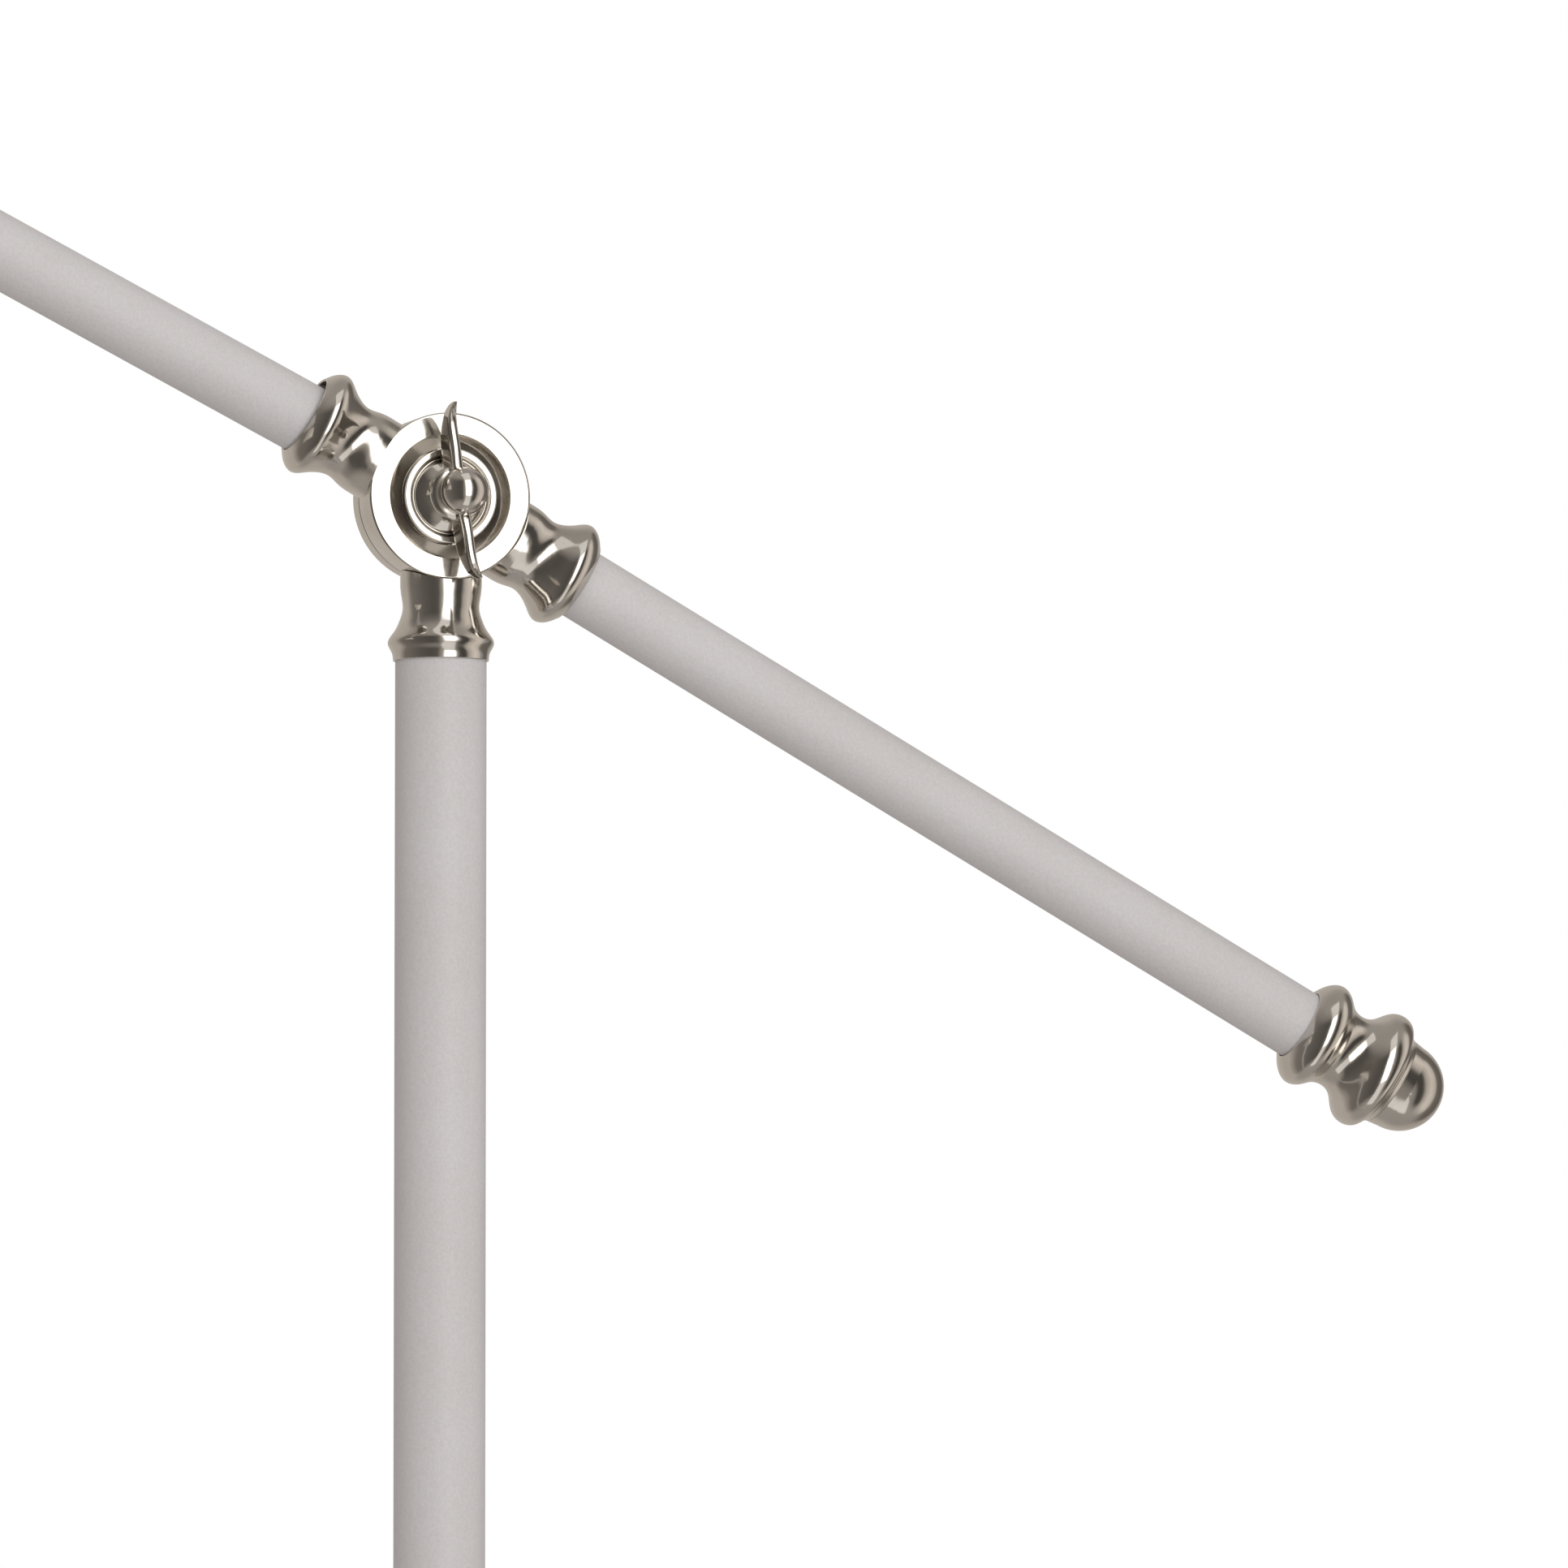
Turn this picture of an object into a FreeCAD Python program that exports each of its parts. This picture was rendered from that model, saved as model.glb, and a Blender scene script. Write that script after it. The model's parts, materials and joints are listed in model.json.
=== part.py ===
import FreeCAD, Part

import math
import os

from FreeCAD import Placement, Rotation, Vector

# Floor lamp with a tilting counterbalanced arm.
# Millimetres.  +Z is up, the origin is under the middle of the base, on the post's axis.
# The arm lies in the XZ plane: the lamp head is towards -X, the tail finial towards +X.
# The arm pivots on an axis along Y, and its wing knob faces -Y, the front.

# ---- driving dimensions ----
POST_R = 14.0            # post tube, outside
ARM_R = 11.0             # arm tubes, outside
WALL = 1.5               # wall of every tube
FIT = 0.05               # clearance between pieces of one body
RUN = 0.06               # radial clearance of a running fit
JOINT_Z = 1320.0         # height of the arm pivot
ARM_SLOPE = 29.25        # degrees, tail side below level
HEAD_DROOP = 2.65        # degrees, the head tube sags this much in its collar
DROOP_AT = 27.5          # distance from the pivot at which the head tube's axis leaves the arm line
HEAD_REACH = 740.0       # arm pivot to head pivot
TAIL_TIP = 371.0         # arm pivot to the tip of the finial
BASE_R = 150.0
COUPLING_Z = 680.0       # where the two post tubes meet

# arm pivot: two discs face to face, measured along -Y from the stems' axis
DISC_R = 25.6
FACE = 10.0              # front face, and the back face at -FACE
PARTING = -2.5           # the plane between the two discs
PART_GAP = 0.15          # each disc stays this far from it
RIM = 0.4                # rounding of the discs' edges
SADDLE = 0.5             # a stem clears the other disc's rim by this much
ROOT = 0.4               # and reaches this far into its own disc's rim
MOUTH = 50.0             # distance from the pivot to the mouth of each collar

# head: distances below the head pivot
ROD_START = 30.3
ROD_END = 80.0
HOLDER_TOP = 86.0
SHADE_TOP = 102.0
SHADE_HEIGHT = 190.0
SHADE_TOP_R = 80.0
SHADE_BOTTOM_R = 150.0
SHADE_WALL = 1.2

UP = Vector(0, 0, 1)
DOWN = Vector(0, 0, -1)
FRONT = Vector(0, -1, 0)
BACK = Vector(0, 1, 0)
JOINT = Vector(0, 0, JOINT_Z)


def sloped(degrees, side):
    """Unit vector in the XZ plane, towards side * X and rising by degrees."""
    angle = math.radians(degrees)
    return Vector(side * math.cos(angle), 0, math.sin(angle))


TAIL_DIR = sloped(-ARM_SLOPE, 1)
STEM_DIR = sloped(ARM_SLOPE, -1)
HEAD_DIR = sloped(ARM_SLOPE - HEAD_DROOP, -1)
BEND = JOINT + STEM_DIR * DROOP_AT
HEAD_PIVOT = BEND + HEAD_DIR * (HEAD_REACH - DROOP_AT)


# ---- helpers ----
def placed(shape, origin, direction):
    """Turn a shape drawn along +Z so that it runs along direction from origin."""
    result = shape.copy()
    result.Placement = Placement(origin, Rotation(UP, direction)).multiply(shape.Placement)
    return result


def outline_edges(outline):
    """Edges of a closed (radius, height) outline.

    A pair is the end of a straight run.  A list of pairs is a smooth run from the last point
    through all of them: an arc where it holds two points, a spline where it holds more.
    """
    to_vector = lambda pair: Vector(pair[0], 0, pair[1])
    start = to_vector(outline[0])
    last = start
    edges = []
    for item in outline[1:] + [outline[0]]:
        if isinstance(item, list):
            points = [last] + [to_vector(pair) for pair in item]
            if len(points) == 3:
                edges.append(Part.Arc(*points).toShape())
            else:
                spline = Part.BSplineCurve()
                spline.interpolate(points)
                edges.append(spline.toShape())
            last = points[-1]
        else:
            point = to_vector(item)
            if point.distanceToPoint(last) > 1e-6:
                edges.append(Part.LineSegment(last, point).toShape())
            last = point
    return edges


def lathe(outline, origin=Vector(0, 0, 0), direction=UP):
    """Solid of revolution of a closed (radius, height) outline about direction."""
    face = Part.Face(Part.Wire(outline_edges(outline)))
    solid = Part.makeSolid(face.revolve(Vector(0, 0, 0), UP, 360))
    if solid.Volume < 0:
        solid.reverse()
    return placed(solid, origin, direction)


def ball_end(radius, centre, join_r, outward=1):
    """Arc of a ball centred on the axis, from where its radius is join_r to its pole."""
    join = math.asin(join_r / radius)
    return [(radius * math.sin(join / 2), centre + outward * radius * math.cos(join / 2)),
            (0, centre + outward * radius)]


def ball_join(radius, centre, join_r, outward=1):
    """The point where that arc starts."""
    return join_r, centre + outward * math.sqrt(radius ** 2 - join_r ** 2)


def rod(radius, start, end, origin=Vector(0, 0, 0), direction=UP):
    """Solid cylinder between two distances along direction."""
    return Part.makeCylinder(radius, end - start, origin + direction * start, direction)


def tube(radius, bore, start, end, origin=Vector(0, 0, 0), direction=UP):
    """Cylinder with a bore through it."""
    outer = rod(radius, start, end, origin, direction)
    return outer.cut(rod(bore, start - 1, end + 1, origin, direction))


def hexagon(across_flats, start, end, origin=Vector(0, 0, 0), direction=UP):
    """Hexagonal prism between two distances along direction."""
    corner = across_flats / math.sqrt(3)
    points = [Vector(corner * math.cos(math.radians(60 * i)), corner * math.sin(math.radians(60 * i)), start)
              for i in range(7)]
    prism = Part.Face(Part.makePolygon(points)).extrude(UP * (end - start))
    return placed(prism, origin, direction)


def fused(*shapes):
    """Union of the shapes as one clean solid."""
    return shapes[0].multiFuse(list(shapes[1:])).removeSplitter()


def save(node, shape):
    """Write one node's solids to its STEP file."""
    solids = shape.Solids
    body = solids[0] if len(solids) == 1 else Part.makeCompound(solids)
    body.exportStep("parts/" + node + ".step")


# ---- base ----
PAD_TOP = 2.5
COVER_WALL = 1.5
BASE_TOP = 36.0
BOSS_R = 40.0
STUD_R = 6.5
STUD_BORE = 4.2
LEAD_R = 2.3
LEAD_Z = 8.5
LEAD_BEND = 14.0
CHANNEL = 10.0           # width of the lead's channel under the weight
GROMMET_R = 5.0          # hole for the lead's grommet
CAVITY_R = 19.0
CAVITY_TOP = 27.0
CASTING_GAP = 0.3        # slack round the cast weight and round the stud
WASHER = 1.5
NUT = 6.0


def base_outline(inset, bottom):
    """Outside of the spun base cover, moved in by inset and ended flat at bottom."""
    rim = BASE_R - inset
    top = BASE_TOP - inset
    return [(0, bottom), (rim, bottom), (rim, 12.0 - inset),
            [(rim - 0.9, 15.2 - inset), (rim - 4.0, 16.5 - inset)],
            (rim - 12.0, 16.9 - inset),
            [(rim - 14.2, 18.2 - inset), (rim - 17.0, 19.3 - inset)],
            [(rim - 45.0, 21.0 - inset), (BOSS_R + 28.0 - inset, 23.2 - inset),
             (BOSS_R + 12.0 - inset, 26.4 - inset), (BOSS_R + 3.0 - inset, 31.6 - inset),
             (BOSS_R - 3.0 - inset, 35.2 - inset), (BOSS_R - 7.0 - inset, top)],
            (0, top)]


def make_base():
    save("base_pad", rod(BASE_R - 4, 0, PAD_TOP))

    cover = lathe(base_outline(0, PAD_TOP)).cut(lathe(base_outline(COVER_WALL, PAD_TOP - 1)))
    cover = cover.cut(rod(STUD_R + CASTING_GAP, 0, BASE_TOP + 1))
    grommet_at = Vector(0, BASE_R, LEAD_Z)
    cover = cover.cut(rod(GROMMET_R, -6, 6, grommet_at, BACK))
    save("base_cover", cover)

    weight = lathe(base_outline(COVER_WALL + CASTING_GAP, PAD_TOP + FIT))
    weight = weight.cut(rod(CAVITY_R, 0, CAVITY_TOP))
    weight = weight.cut(rod(STUD_R + CASTING_GAP, 0, BASE_TOP))
    channel = Part.makeBox(CHANNEL, BASE_R, LEAD_Z + CHANNEL / 2, Vector(-CHANNEL / 2, 0, 0))
    save("base_weight", weight.cut(channel))

    # the grommet's neck sits in the cover's hole, with a flange outside it
    hole = LEAD_R + 0.1
    neck = tube(GROMMET_R - FIT, hole, -4.0, 0.2, grommet_at, BACK)
    flange = lathe([(hole, 0.2), (7.2, 0.2), [(7.0, 1.4), (5.6, 2.2)], (4.0, 5.2), (hole, 5.2)],
                   grommet_at, BACK)
    save("cord_grommet", fused(neck, flange))

    nut_top = CAVITY_TOP - WASHER
    save("base_washer", tube(CAVITY_R - 2.0, STUD_R + 0.2, nut_top, CAVITY_TOP))
    nut = hexagon(22, nut_top - NUT, nut_top)
    save("base_nut", nut.cut(rod(STUD_R, 0, BASE_TOP)))


# ---- post ----
FOOT_TOP = 92.0
FOOT_SOCKET = 58.0
POST_BORE = POST_R - WALL
POST_END = JOINT_Z - 43.0
NIPPLE = 64.0            # length of the nipple inside the coupling
COUPLING = 22.0          # length of the coupling ring


def make_post():
    stud = tube(STUD_R, STUD_BORE, CAVITY_TOP - WASHER - NUT - 1.0, FOOT_SOCKET + 15)
    save("base_stud", stud)
    insert = tube(POST_BORE, STUD_R, FOOT_SOCKET, FOOT_SOCKET + 20)
    save("post_insert", insert)

    # turned foot: spreading skirt, cove and bead, like the pivot's collars
    foot = lathe([(0, BASE_TOP), (30.0, BASE_TOP), [(31.4, BASE_TOP + 1.6), (30.4, BASE_TOP + 3.4)],
                  (28.6, BASE_TOP + 4.0),
                  [(24.0, 45.0), (19.6, 52.0), (17.4, 61.0), (16.7, 70.0), (17.0, 77.0), (19.2, 81.6),
                   (20.6, 85.0), (19.4, 88.4), (17.0, 90.6), (15.6, FOOT_TOP)],
                  (0, FOOT_TOP)])
    foot = foot.cut(rod(STUD_R + CASTING_GAP, 0, FOOT_TOP))
    foot = foot.cut(rod(POST_R + FIT, FOOT_SOCKET, FOOT_TOP + 1))
    save("post_foot", foot)

    lower = tube(POST_R, POST_BORE, FOOT_SOCKET, COUPLING_Z)
    save("post_lower_tube", lower)
    upper = tube(POST_R, POST_BORE, COUPLING_Z + 0.3, POST_END)
    save("post_upper_tube", upper)

    nipple = tube(POST_BORE - FIT, 9.5, COUPLING_Z - NIPPLE / 2, COUPLING_Z + NIPPLE / 2)
    save("coupling_nipple", nipple)
    # ring with a bead at each end and a shallow swell between them
    half = COUPLING / 2
    bead_at = half - 2.6
    swell = half - 5.4
    inner = POST_R + FIT
    waist = inner + 0.85
    bead = inner + 2.85
    ring = lathe([(inner, COUPLING_Z - half), (waist, COUPLING_Z - half),
                  [(bead, COUPLING_Z - bead_at), (waist, COUPLING_Z - swell)],
                  [(waist + 0.6, COUPLING_Z), (waist, COUPLING_Z + swell)],
                  [(bead, COUPLING_Z + bead_at), (waist, COUPLING_Z + half)],
                  (inner, COUPLING_Z + half)])
    save("post_coupling", ring)


# ---- arm pivot ----
NECK_END = 27.0
TUBE_STOP = 42.0         # where each tube ends inside its collar
SPIGOT_END = 72.0
BOLT_R = 4.0
THREAD_R = 3.0
FLOOR = FACE - 4.2       # floor of the recess under the knob
BOSS = 12.2              # friction washer, outside
SEAT = PARTING - 1.15    # floor of its seat in the rear disc
CHAMBER_OUT = 20.5       # ring-shaped chamber for the lead behind the front disc
CHAMBER_IN = 12.6
CHAMBER_TOP = 3.2
LEAD_WAY = 2.6           # radius of the lead's way through the post knuckle
HEAD_SINK = 4.0          # depth of the bolt head's seat in the rear disc
GRUB_R = 2.0             # hole of each collar's set screw
SCREW_AT = 46.0          # and its distance from the pivot


def collar_outline(root_r, neck_r, bead_r, mouth_r):
    """Outside of one stem with its collar, measured from the pivot."""
    return [(0, 8.0), (root_r, 8.0), (root_r, NECK_END),
            [(root_r - 0.25, 29.4), (neck_r, 34.0), (neck_r + 0.9, 37.4), (bead_r - 1.9, 41.0),
             (bead_r, 44.6), (bead_r - 1.3, 47.6), (mouth_r, MOUTH)],
            (0, MOUTH)]


def disc_cut(radius, start, end, pivot):
    """Cylinder about the pivot axis, from start to end along -Y."""
    return rod(radius, start, end, pivot, FRONT)


def pivot_half(disc, stems, front, disc_r, parting, pivot):
    """Join a disc to its stems, cutting each stem back to the two discs' rims."""
    far = 60.0
    joined = fused(*stems) if len(stems) > 1 else stems[0]
    if front:
        joined = joined.cut(disc_cut(disc_r + SADDLE, -far, parting + PART_GAP, pivot))
    else:
        joined = joined.cut(disc_cut(disc_r + SADDLE, parting - PART_GAP, far, pivot))
    return fused(disc, joined.cut(disc_cut(disc_r - ROOT, -far, far, pivot)))


def make_post_knuckle():
    back = -FACE
    disc = lathe([(BOLT_R + FIT, SEAT), (BOSS, SEAT), (BOSS, PARTING - PART_GAP),
                  (DISC_R - 0.3, PARTING - PART_GAP), (DISC_R, PARTING - 0.45), (DISC_R, back + 4 * RIM),
                  [(DISC_R - 1.2 * RIM, back + 1.2 * RIM), (DISC_R - 4 * RIM, back)],
                  (9.5, back), (9.5, back + HEAD_SINK), (BOLT_R + FIT, back + HEAD_SINK)],
                 JOINT, FRONT)
    stem = lathe(collar_outline(12.5, 11.75, 16.3, 14.7), JOINT, DOWN)
    knuckle = pivot_half(disc, [stem], False, DISC_R, PARTING, JOINT)
    knuckle = knuckle.cut(rod(POST_R + FIT, TUBE_STOP + 1, MOUTH + 1, JOINT, DOWN))
    knuckle = fused(knuckle, rod(POST_BORE - FIT, TUBE_STOP - 2, SPIGOT_END, JOINT, DOWN))
    # lead way: up the spigot, leaning back into the disc, then forward to the chamber
    lean = Vector(0, 6.2, 43.0)
    lean.normalize()
    low = JOINT + DOWN * (SPIGOT_END - 12)
    middle = (CHAMBER_IN + CHAMBER_OUT) / 2
    knuckle = knuckle.cut(rod(4.0, SPIGOT_END - 14, SPIGOT_END + 1, JOINT, DOWN))
    knuckle = knuckle.cut(Part.makeCylinder(LEAD_WAY, 44.0, low, lean))
    knuckle = knuckle.cut(rod(LEAD_WAY, -7.0, PARTING + 1, JOINT + DOWN * middle, FRONT))
    screw_at = JOINT + DOWN * SCREW_AT
    knuckle = knuckle.cut(rod(GRUB_R, POST_R - 0.6, 30, screw_at, BACK))
    save("post_knuckle", knuckle)
    save("post_grub_screw", grub_screw(screw_at, POST_R + FIT, 16.0))


def grub_screw(centre, start, end):
    """Hexagon-socket set screw that enters a collar from behind."""
    screw = rod(GRUB_R - FIT, start, end, centre, BACK)
    return screw.cut(hexagon(2.0, end - 2.2, end + 1, centre, BACK))


def make_arm_knuckle():
    bore = BOLT_R + RUN
    rear = PARTING + PART_GAP
    disc = lathe([(bore, rear), (bore, FLOOR), (14.9, FLOOR), (14.9, FACE - 2.7),
                  [(17.2, FACE - 1.5), (19.2, FACE)], (DISC_R - RIM, FACE),
                  [(DISC_R - 0.3 * RIM, FACE - 0.3 * RIM), (DISC_R, FACE - RIM)],
                  (DISC_R, PARTING + 0.45), (DISC_R - 0.3, rear),
                  (CHAMBER_OUT, rear), (CHAMBER_OUT, CHAMBER_TOP), (CHAMBER_IN, CHAMBER_TOP),
                  (CHAMBER_IN, rear)],
                 JOINT, FRONT)
    outline = collar_outline(13.1, 12.0, 17.0, 13.1)
    stems = [lathe(outline, JOINT, TAIL_DIR), lathe(outline, JOINT, STEM_DIR)]
    knuckle = pivot_half(disc, stems, True, DISC_R, PARTING, JOINT)
    knuckle = knuckle.cut(rod(ARM_R + 0.15, TUBE_STOP, MOUTH + 1, JOINT, TAIL_DIR))
    knuckle = knuckle.cut(rod(ARM_R + 1.2, TUBE_STOP, MOUTH + 1, JOINT, STEM_DIR))
    spigot = ARM_R - WALL - FIT
    knuckle = fused(knuckle,
                    rod(spigot, TUBE_STOP - 4, SPIGOT_END, JOINT, TAIL_DIR),
                    rod(spigot, TUBE_STOP - DROOP_AT - 2, SPIGOT_END - DROOP_AT, BEND, HEAD_DIR))
    # lead way from the chamber behind the disc, through the head-side stem
    knuckle = knuckle.cut(rod(2.5, 18, 44, JOINT + Vector(0, -0.4, 0), STEM_DIR))
    knuckle = knuckle.cut(rod(3.4, 12, SPIGOT_END, BEND, HEAD_DIR))
    screws = []
    for direction in (TAIL_DIR, STEM_DIR):
        screw_at = JOINT + direction * SCREW_AT
        knuckle = knuckle.cut(rod(GRUB_R, ARM_R + 0.2, 30, screw_at, BACK))
        screws.append(grub_screw(screw_at, ARM_R + 0.2, 16.0))
    save("arm_knuckle", knuckle)
    save("arm_grub_screws", Part.makeCompound(screws))


def make_pivot_hardware():
    seat = HEAD_SINK - FACE
    shank = rod(BOLT_R, seat, FLOOR - 0.1, JOINT, FRONT)
    thread = rod(THREAD_R, FLOOR - 0.2, FACE + 9.0, JOINT, FRONT)
    head = hexagon(13, 0.5 - FACE, seat, JOINT, FRONT)
    save("pivot_bolt", fused(head, shank, thread))
    save("friction_washer", tube(BOSS - FIT, BOLT_R + 0.3, SEAT, PARTING + 0.1, JOINT, FRONT))
    dome_r = 17.0
    dome_at = 12.6
    cap = lathe([(0, 0.3), (9.4, 0.3), (9.4, 0), (12.6, 0), [(12.9, -0.7), (12.4, -1.4)],
                 ball_join(dome_r, dome_at, 11.0, -1), ball_end(dome_r, dome_at, 11.0, -1)],
                JOINT + BACK * FACE, FRONT)
    save("pivot_cap", cap)
    save("clamp_washer", tube(14.0, THREAD_R + 0.4, FLOOR + 0.05, FLOOR + 0.95, JOINT, FRONT))


# ---- wing knob, measured along -Y from the arm disc's front face ----
BALL_R = 7.4
BALL_AT = 15.0
WING_TURN = 8.8          # degrees, the upper wing leans towards -X
FLANGE_R = 14.6
LAND = 0.8               # flat ring round the knob's flange
GROOVE = -0.9            # groove inside that ring
BOSS_TOP = 8.9           # end of the turned boss under the ball
# back edge and front edge as (radius, height), then thickness, from the root to the tip
WING_STATIONS = [
    ((2.0, 2.2), (2.0, 12.4), 4.2),
    ((9.0, 1.6), (9.0, 13.6), 3.6),
    ((15.0, 1.6), (14.2, 14.2), 3.3),
    ((19.2, 3.2), (18.2, 14.1), 3.1),
    ((22.2, 6.0), (20.8, 14.3), 2.9),
    ((24.4, 8.8), (23.0, 15.1), 2.6),
    ((25.9, 11.8), (24.8, 16.6), 2.1),
    ((26.9, 15.0), (26.2, 18.4), 1.5),
    ((27.3, 18.2), (27.1, 20.0), 0.8),
]


def wing():
    """One horn-shaped wing along +X, its height along +Z: a loft of ellipses."""
    wires = []
    for back, front, thickness in WING_STATIONS:
        low = Vector(back[0], 0, back[1])
        high = Vector(front[0], 0, front[1])
        half = (high - low) * 0.5
        centre = (high + low) * 0.5
        tip = centre + half
        side = centre + Vector(0, thickness / 2, 0)
        ellipse = Part.Ellipse(tip, side, centre)
        wires.append(Part.Wire(ellipse.toShape()))
    return Part.makeLoft(wires, True, False)


def make_wing_knob():
    ball_neck = 5.0
    ball_start = BALL_AT - math.sqrt(BALL_R ** 2 - ball_neck ** 2)
    flange_bottom = -3.2
    body = lathe([(0, flange_bottom), (FLANGE_R - 0.4, flange_bottom), (FLANGE_R, flange_bottom + 0.4),
                  (FLANGE_R, LAND - 0.3), [(FLANGE_R - 0.1, LAND - 0.1), (FLANGE_R - 0.35, LAND)],
                  (13.0, LAND),
                  [(12.75, LAND - 0.08), (12.6, LAND - 0.3)], (12.1, GROOVE),
                  [(11.6, GROOVE + 0.5), (11.1, GROOVE)],
                  [(9.4, 0.2), (7.6, 1.9), (6.5, 4.4), (6.9, 6.1), (8.1, 6.9), (8.5, 7.6), (8.0, 8.3),
                   (6.6, BOSS_TOP), (ball_neck, ball_start)],
                  [(BALL_R, BALL_AT), (0, BALL_AT + BALL_R)]])
    blade = wing()
    other = blade.copy()
    other.rotate(Vector(0, 0, 0), UP, 180)
    knob = fused(body, blade, other)
    knob = knob.cut(rod(THREAD_R + RUN, flange_bottom - 1, 10.2))
    # the drawing's +X becomes the upper wing's direction, its +Z the front
    knob.Placement = Placement(JOINT + FRONT * FACE, Rotation(Vector(0, 1, 0), -90 - WING_TURN).multiply(
        Rotation(Vector(1, 0, 0), 90)))
    save("wing_knob", knob)


# ---- arm ----
FINIAL_START = 319.0
FINIAL_JOIN = 353.3
FINIAL_STUD_R = 4.0
DOME_R = 14.0


def make_tail():
    bore = ARM_R - WALL
    save("tail_tube", tube(ARM_R, bore, TUBE_STOP + 0.3, FINIAL_START + 6, JOINT, TAIL_DIR))
    save("tail_counterweight", rod(bore - FIT, SPIGOT_END + 2, FINIAL_START - 16, JOINT, TAIL_DIR))
    collar = lathe([(0, FINIAL_START), (12.0, FINIAL_START),
                    [(13.6, 320.0), (15.8, 321.9), (17.3, 325.0), (16.3, 328.1), (13.6, 331.2), (12.4, 335.0),
                     (13.2, 338.4), (16.2, 341.6), (18.5, 344.0), (19.25, 346.9), (18.2, 349.9),
                     (15.4, 352.0), (14.6, FINIAL_JOIN)],
                    (0, FINIAL_JOIN)], JOINT, TAIL_DIR)
    collar = collar.cut(rod(ARM_R + 0.15, FINIAL_START - 1, FINIAL_START + 6.3, JOINT, TAIL_DIR))
    collar = fused(collar, rod(bore - FIT, FINIAL_START - 14, FINIAL_START + 7, JOINT, TAIL_DIR))
    collar = collar.cut(rod(FINIAL_STUD_R, FINIAL_JOIN - 17, FINIAL_JOIN + 1, JOINT, TAIL_DIR))
    save("finial_collar", collar)
    dome = lathe([(0, FINIAL_JOIN), (14.2, FINIAL_JOIN), (14.5, FINIAL_JOIN + 0.3),
                  (DOME_R, TAIL_TIP - DOME_R + 0.4), (DOME_R, TAIL_TIP - DOME_R),
                  ball_end(DOME_R, TAIL_TIP - DOME_R, DOME_R)], JOINT, TAIL_DIR)
    save("finial_dome", dome.cut(rod(FINIAL_STUD_R, FINIAL_JOIN - 1, FINIAL_JOIN + 10, JOINT, TAIL_DIR)))
    save("finial_stud", rod(FINIAL_STUD_R, FINIAL_JOIN - 16, FINIAL_JOIN + 9, JOINT, TAIL_DIR))


HEAD_DISC_R = 20.0
HEAD_FACE = 7.5
HEAD_PARTING = 0.0
HEAD_BOLT_R = 3.0
HEAD_MOUTH = 43.0
HEAD_STOP = 36.5


def head_collar_outline(root_r, neck_r, bead_r, mouth_r):
    """Outside of a head-pivot stem and its collar, measured from the head pivot."""
    return [(0, 5.0), (root_r, 5.0), (root_r, 21.5),
            [(root_r - 0.2, 23.0), (neck_r, 26.6), (neck_r + 0.9, 30.0), (bead_r - 1.6, 34.0),
             (bead_r, 37.4), (bead_r - 1.2, 40.8), (mouth_r, HEAD_MOUTH)],
            (0, HEAD_MOUTH)]


def make_head_arm():
    bore = ARM_R - WALL
    inward = HEAD_DIR * -1
    start = TUBE_STOP - DROOP_AT + 0.5
    end = HEAD_REACH - DROOP_AT - HEAD_STOP
    save("head_tube", tube(ARM_R, bore, start, end, BEND, HEAD_DIR))

    disc = lathe([(HEAD_BOLT_R + RUN, HEAD_PARTING + PART_GAP), (HEAD_BOLT_R + RUN, HEAD_FACE),
                  (HEAD_DISC_R - 1.2, HEAD_FACE),
                  [(HEAD_DISC_R - 0.35, HEAD_FACE - 0.35), (HEAD_DISC_R, HEAD_FACE - 1.2)],
                  (HEAD_DISC_R, HEAD_PARTING + PART_GAP)], HEAD_PIVOT, FRONT)
    stem = lathe(head_collar_outline(9.0, 8.5, 14.6, 12.2), HEAD_PIVOT, inward)
    knuckle = pivot_half(disc, [stem], True, HEAD_DISC_R, HEAD_PARTING, HEAD_PIVOT)
    knuckle = knuckle.cut(rod(ARM_R + 0.1, HEAD_STOP - 0.3, HEAD_MOUTH + 1, HEAD_PIVOT, inward))
    knuckle = fused(knuckle, rod(bore - FIT, HEAD_STOP - 2, HEAD_STOP + 24, HEAD_PIVOT, inward))
    knuckle = knuckle.cut(rod(3.4, HEAD_STOP - 12, HEAD_STOP + 25, HEAD_PIVOT, inward))
    save("head_knuckle", knuckle)

    lead = rod(LEAD_R, 14.0, HEAD_REACH - DROOP_AT - HEAD_STOP + 10, BEND, HEAD_DIR)
    save("arm_lead", lead)


def make_post_lead():
    """Lead from the grommet, under the weight, round one bend and up the post."""
    start = Vector(0, BASE_R + 1.0, LEAD_Z)
    corner_in = Vector(0, LEAD_BEND, LEAD_Z)
    turn = LEAD_BEND * (1 - math.sqrt(0.5))
    middle = Vector(0, turn, LEAD_Z + turn)
    corner_out = Vector(0, 0, LEAD_Z + LEAD_BEND)
    top = Vector(0, 0, JOINT_Z - SPIGOT_END + 10)
    path = Part.Wire([Part.LineSegment(start, corner_in).toShape(),
                      Part.Arc(corner_in, middle, corner_out).toShape(),
                      Part.LineSegment(corner_out, top).toShape()])
    section = Part.Wire(Part.Circle(start, BACK, LEAD_R).toShape())
    save("post_lead", path.makePipeShell([section], True, True))


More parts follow.
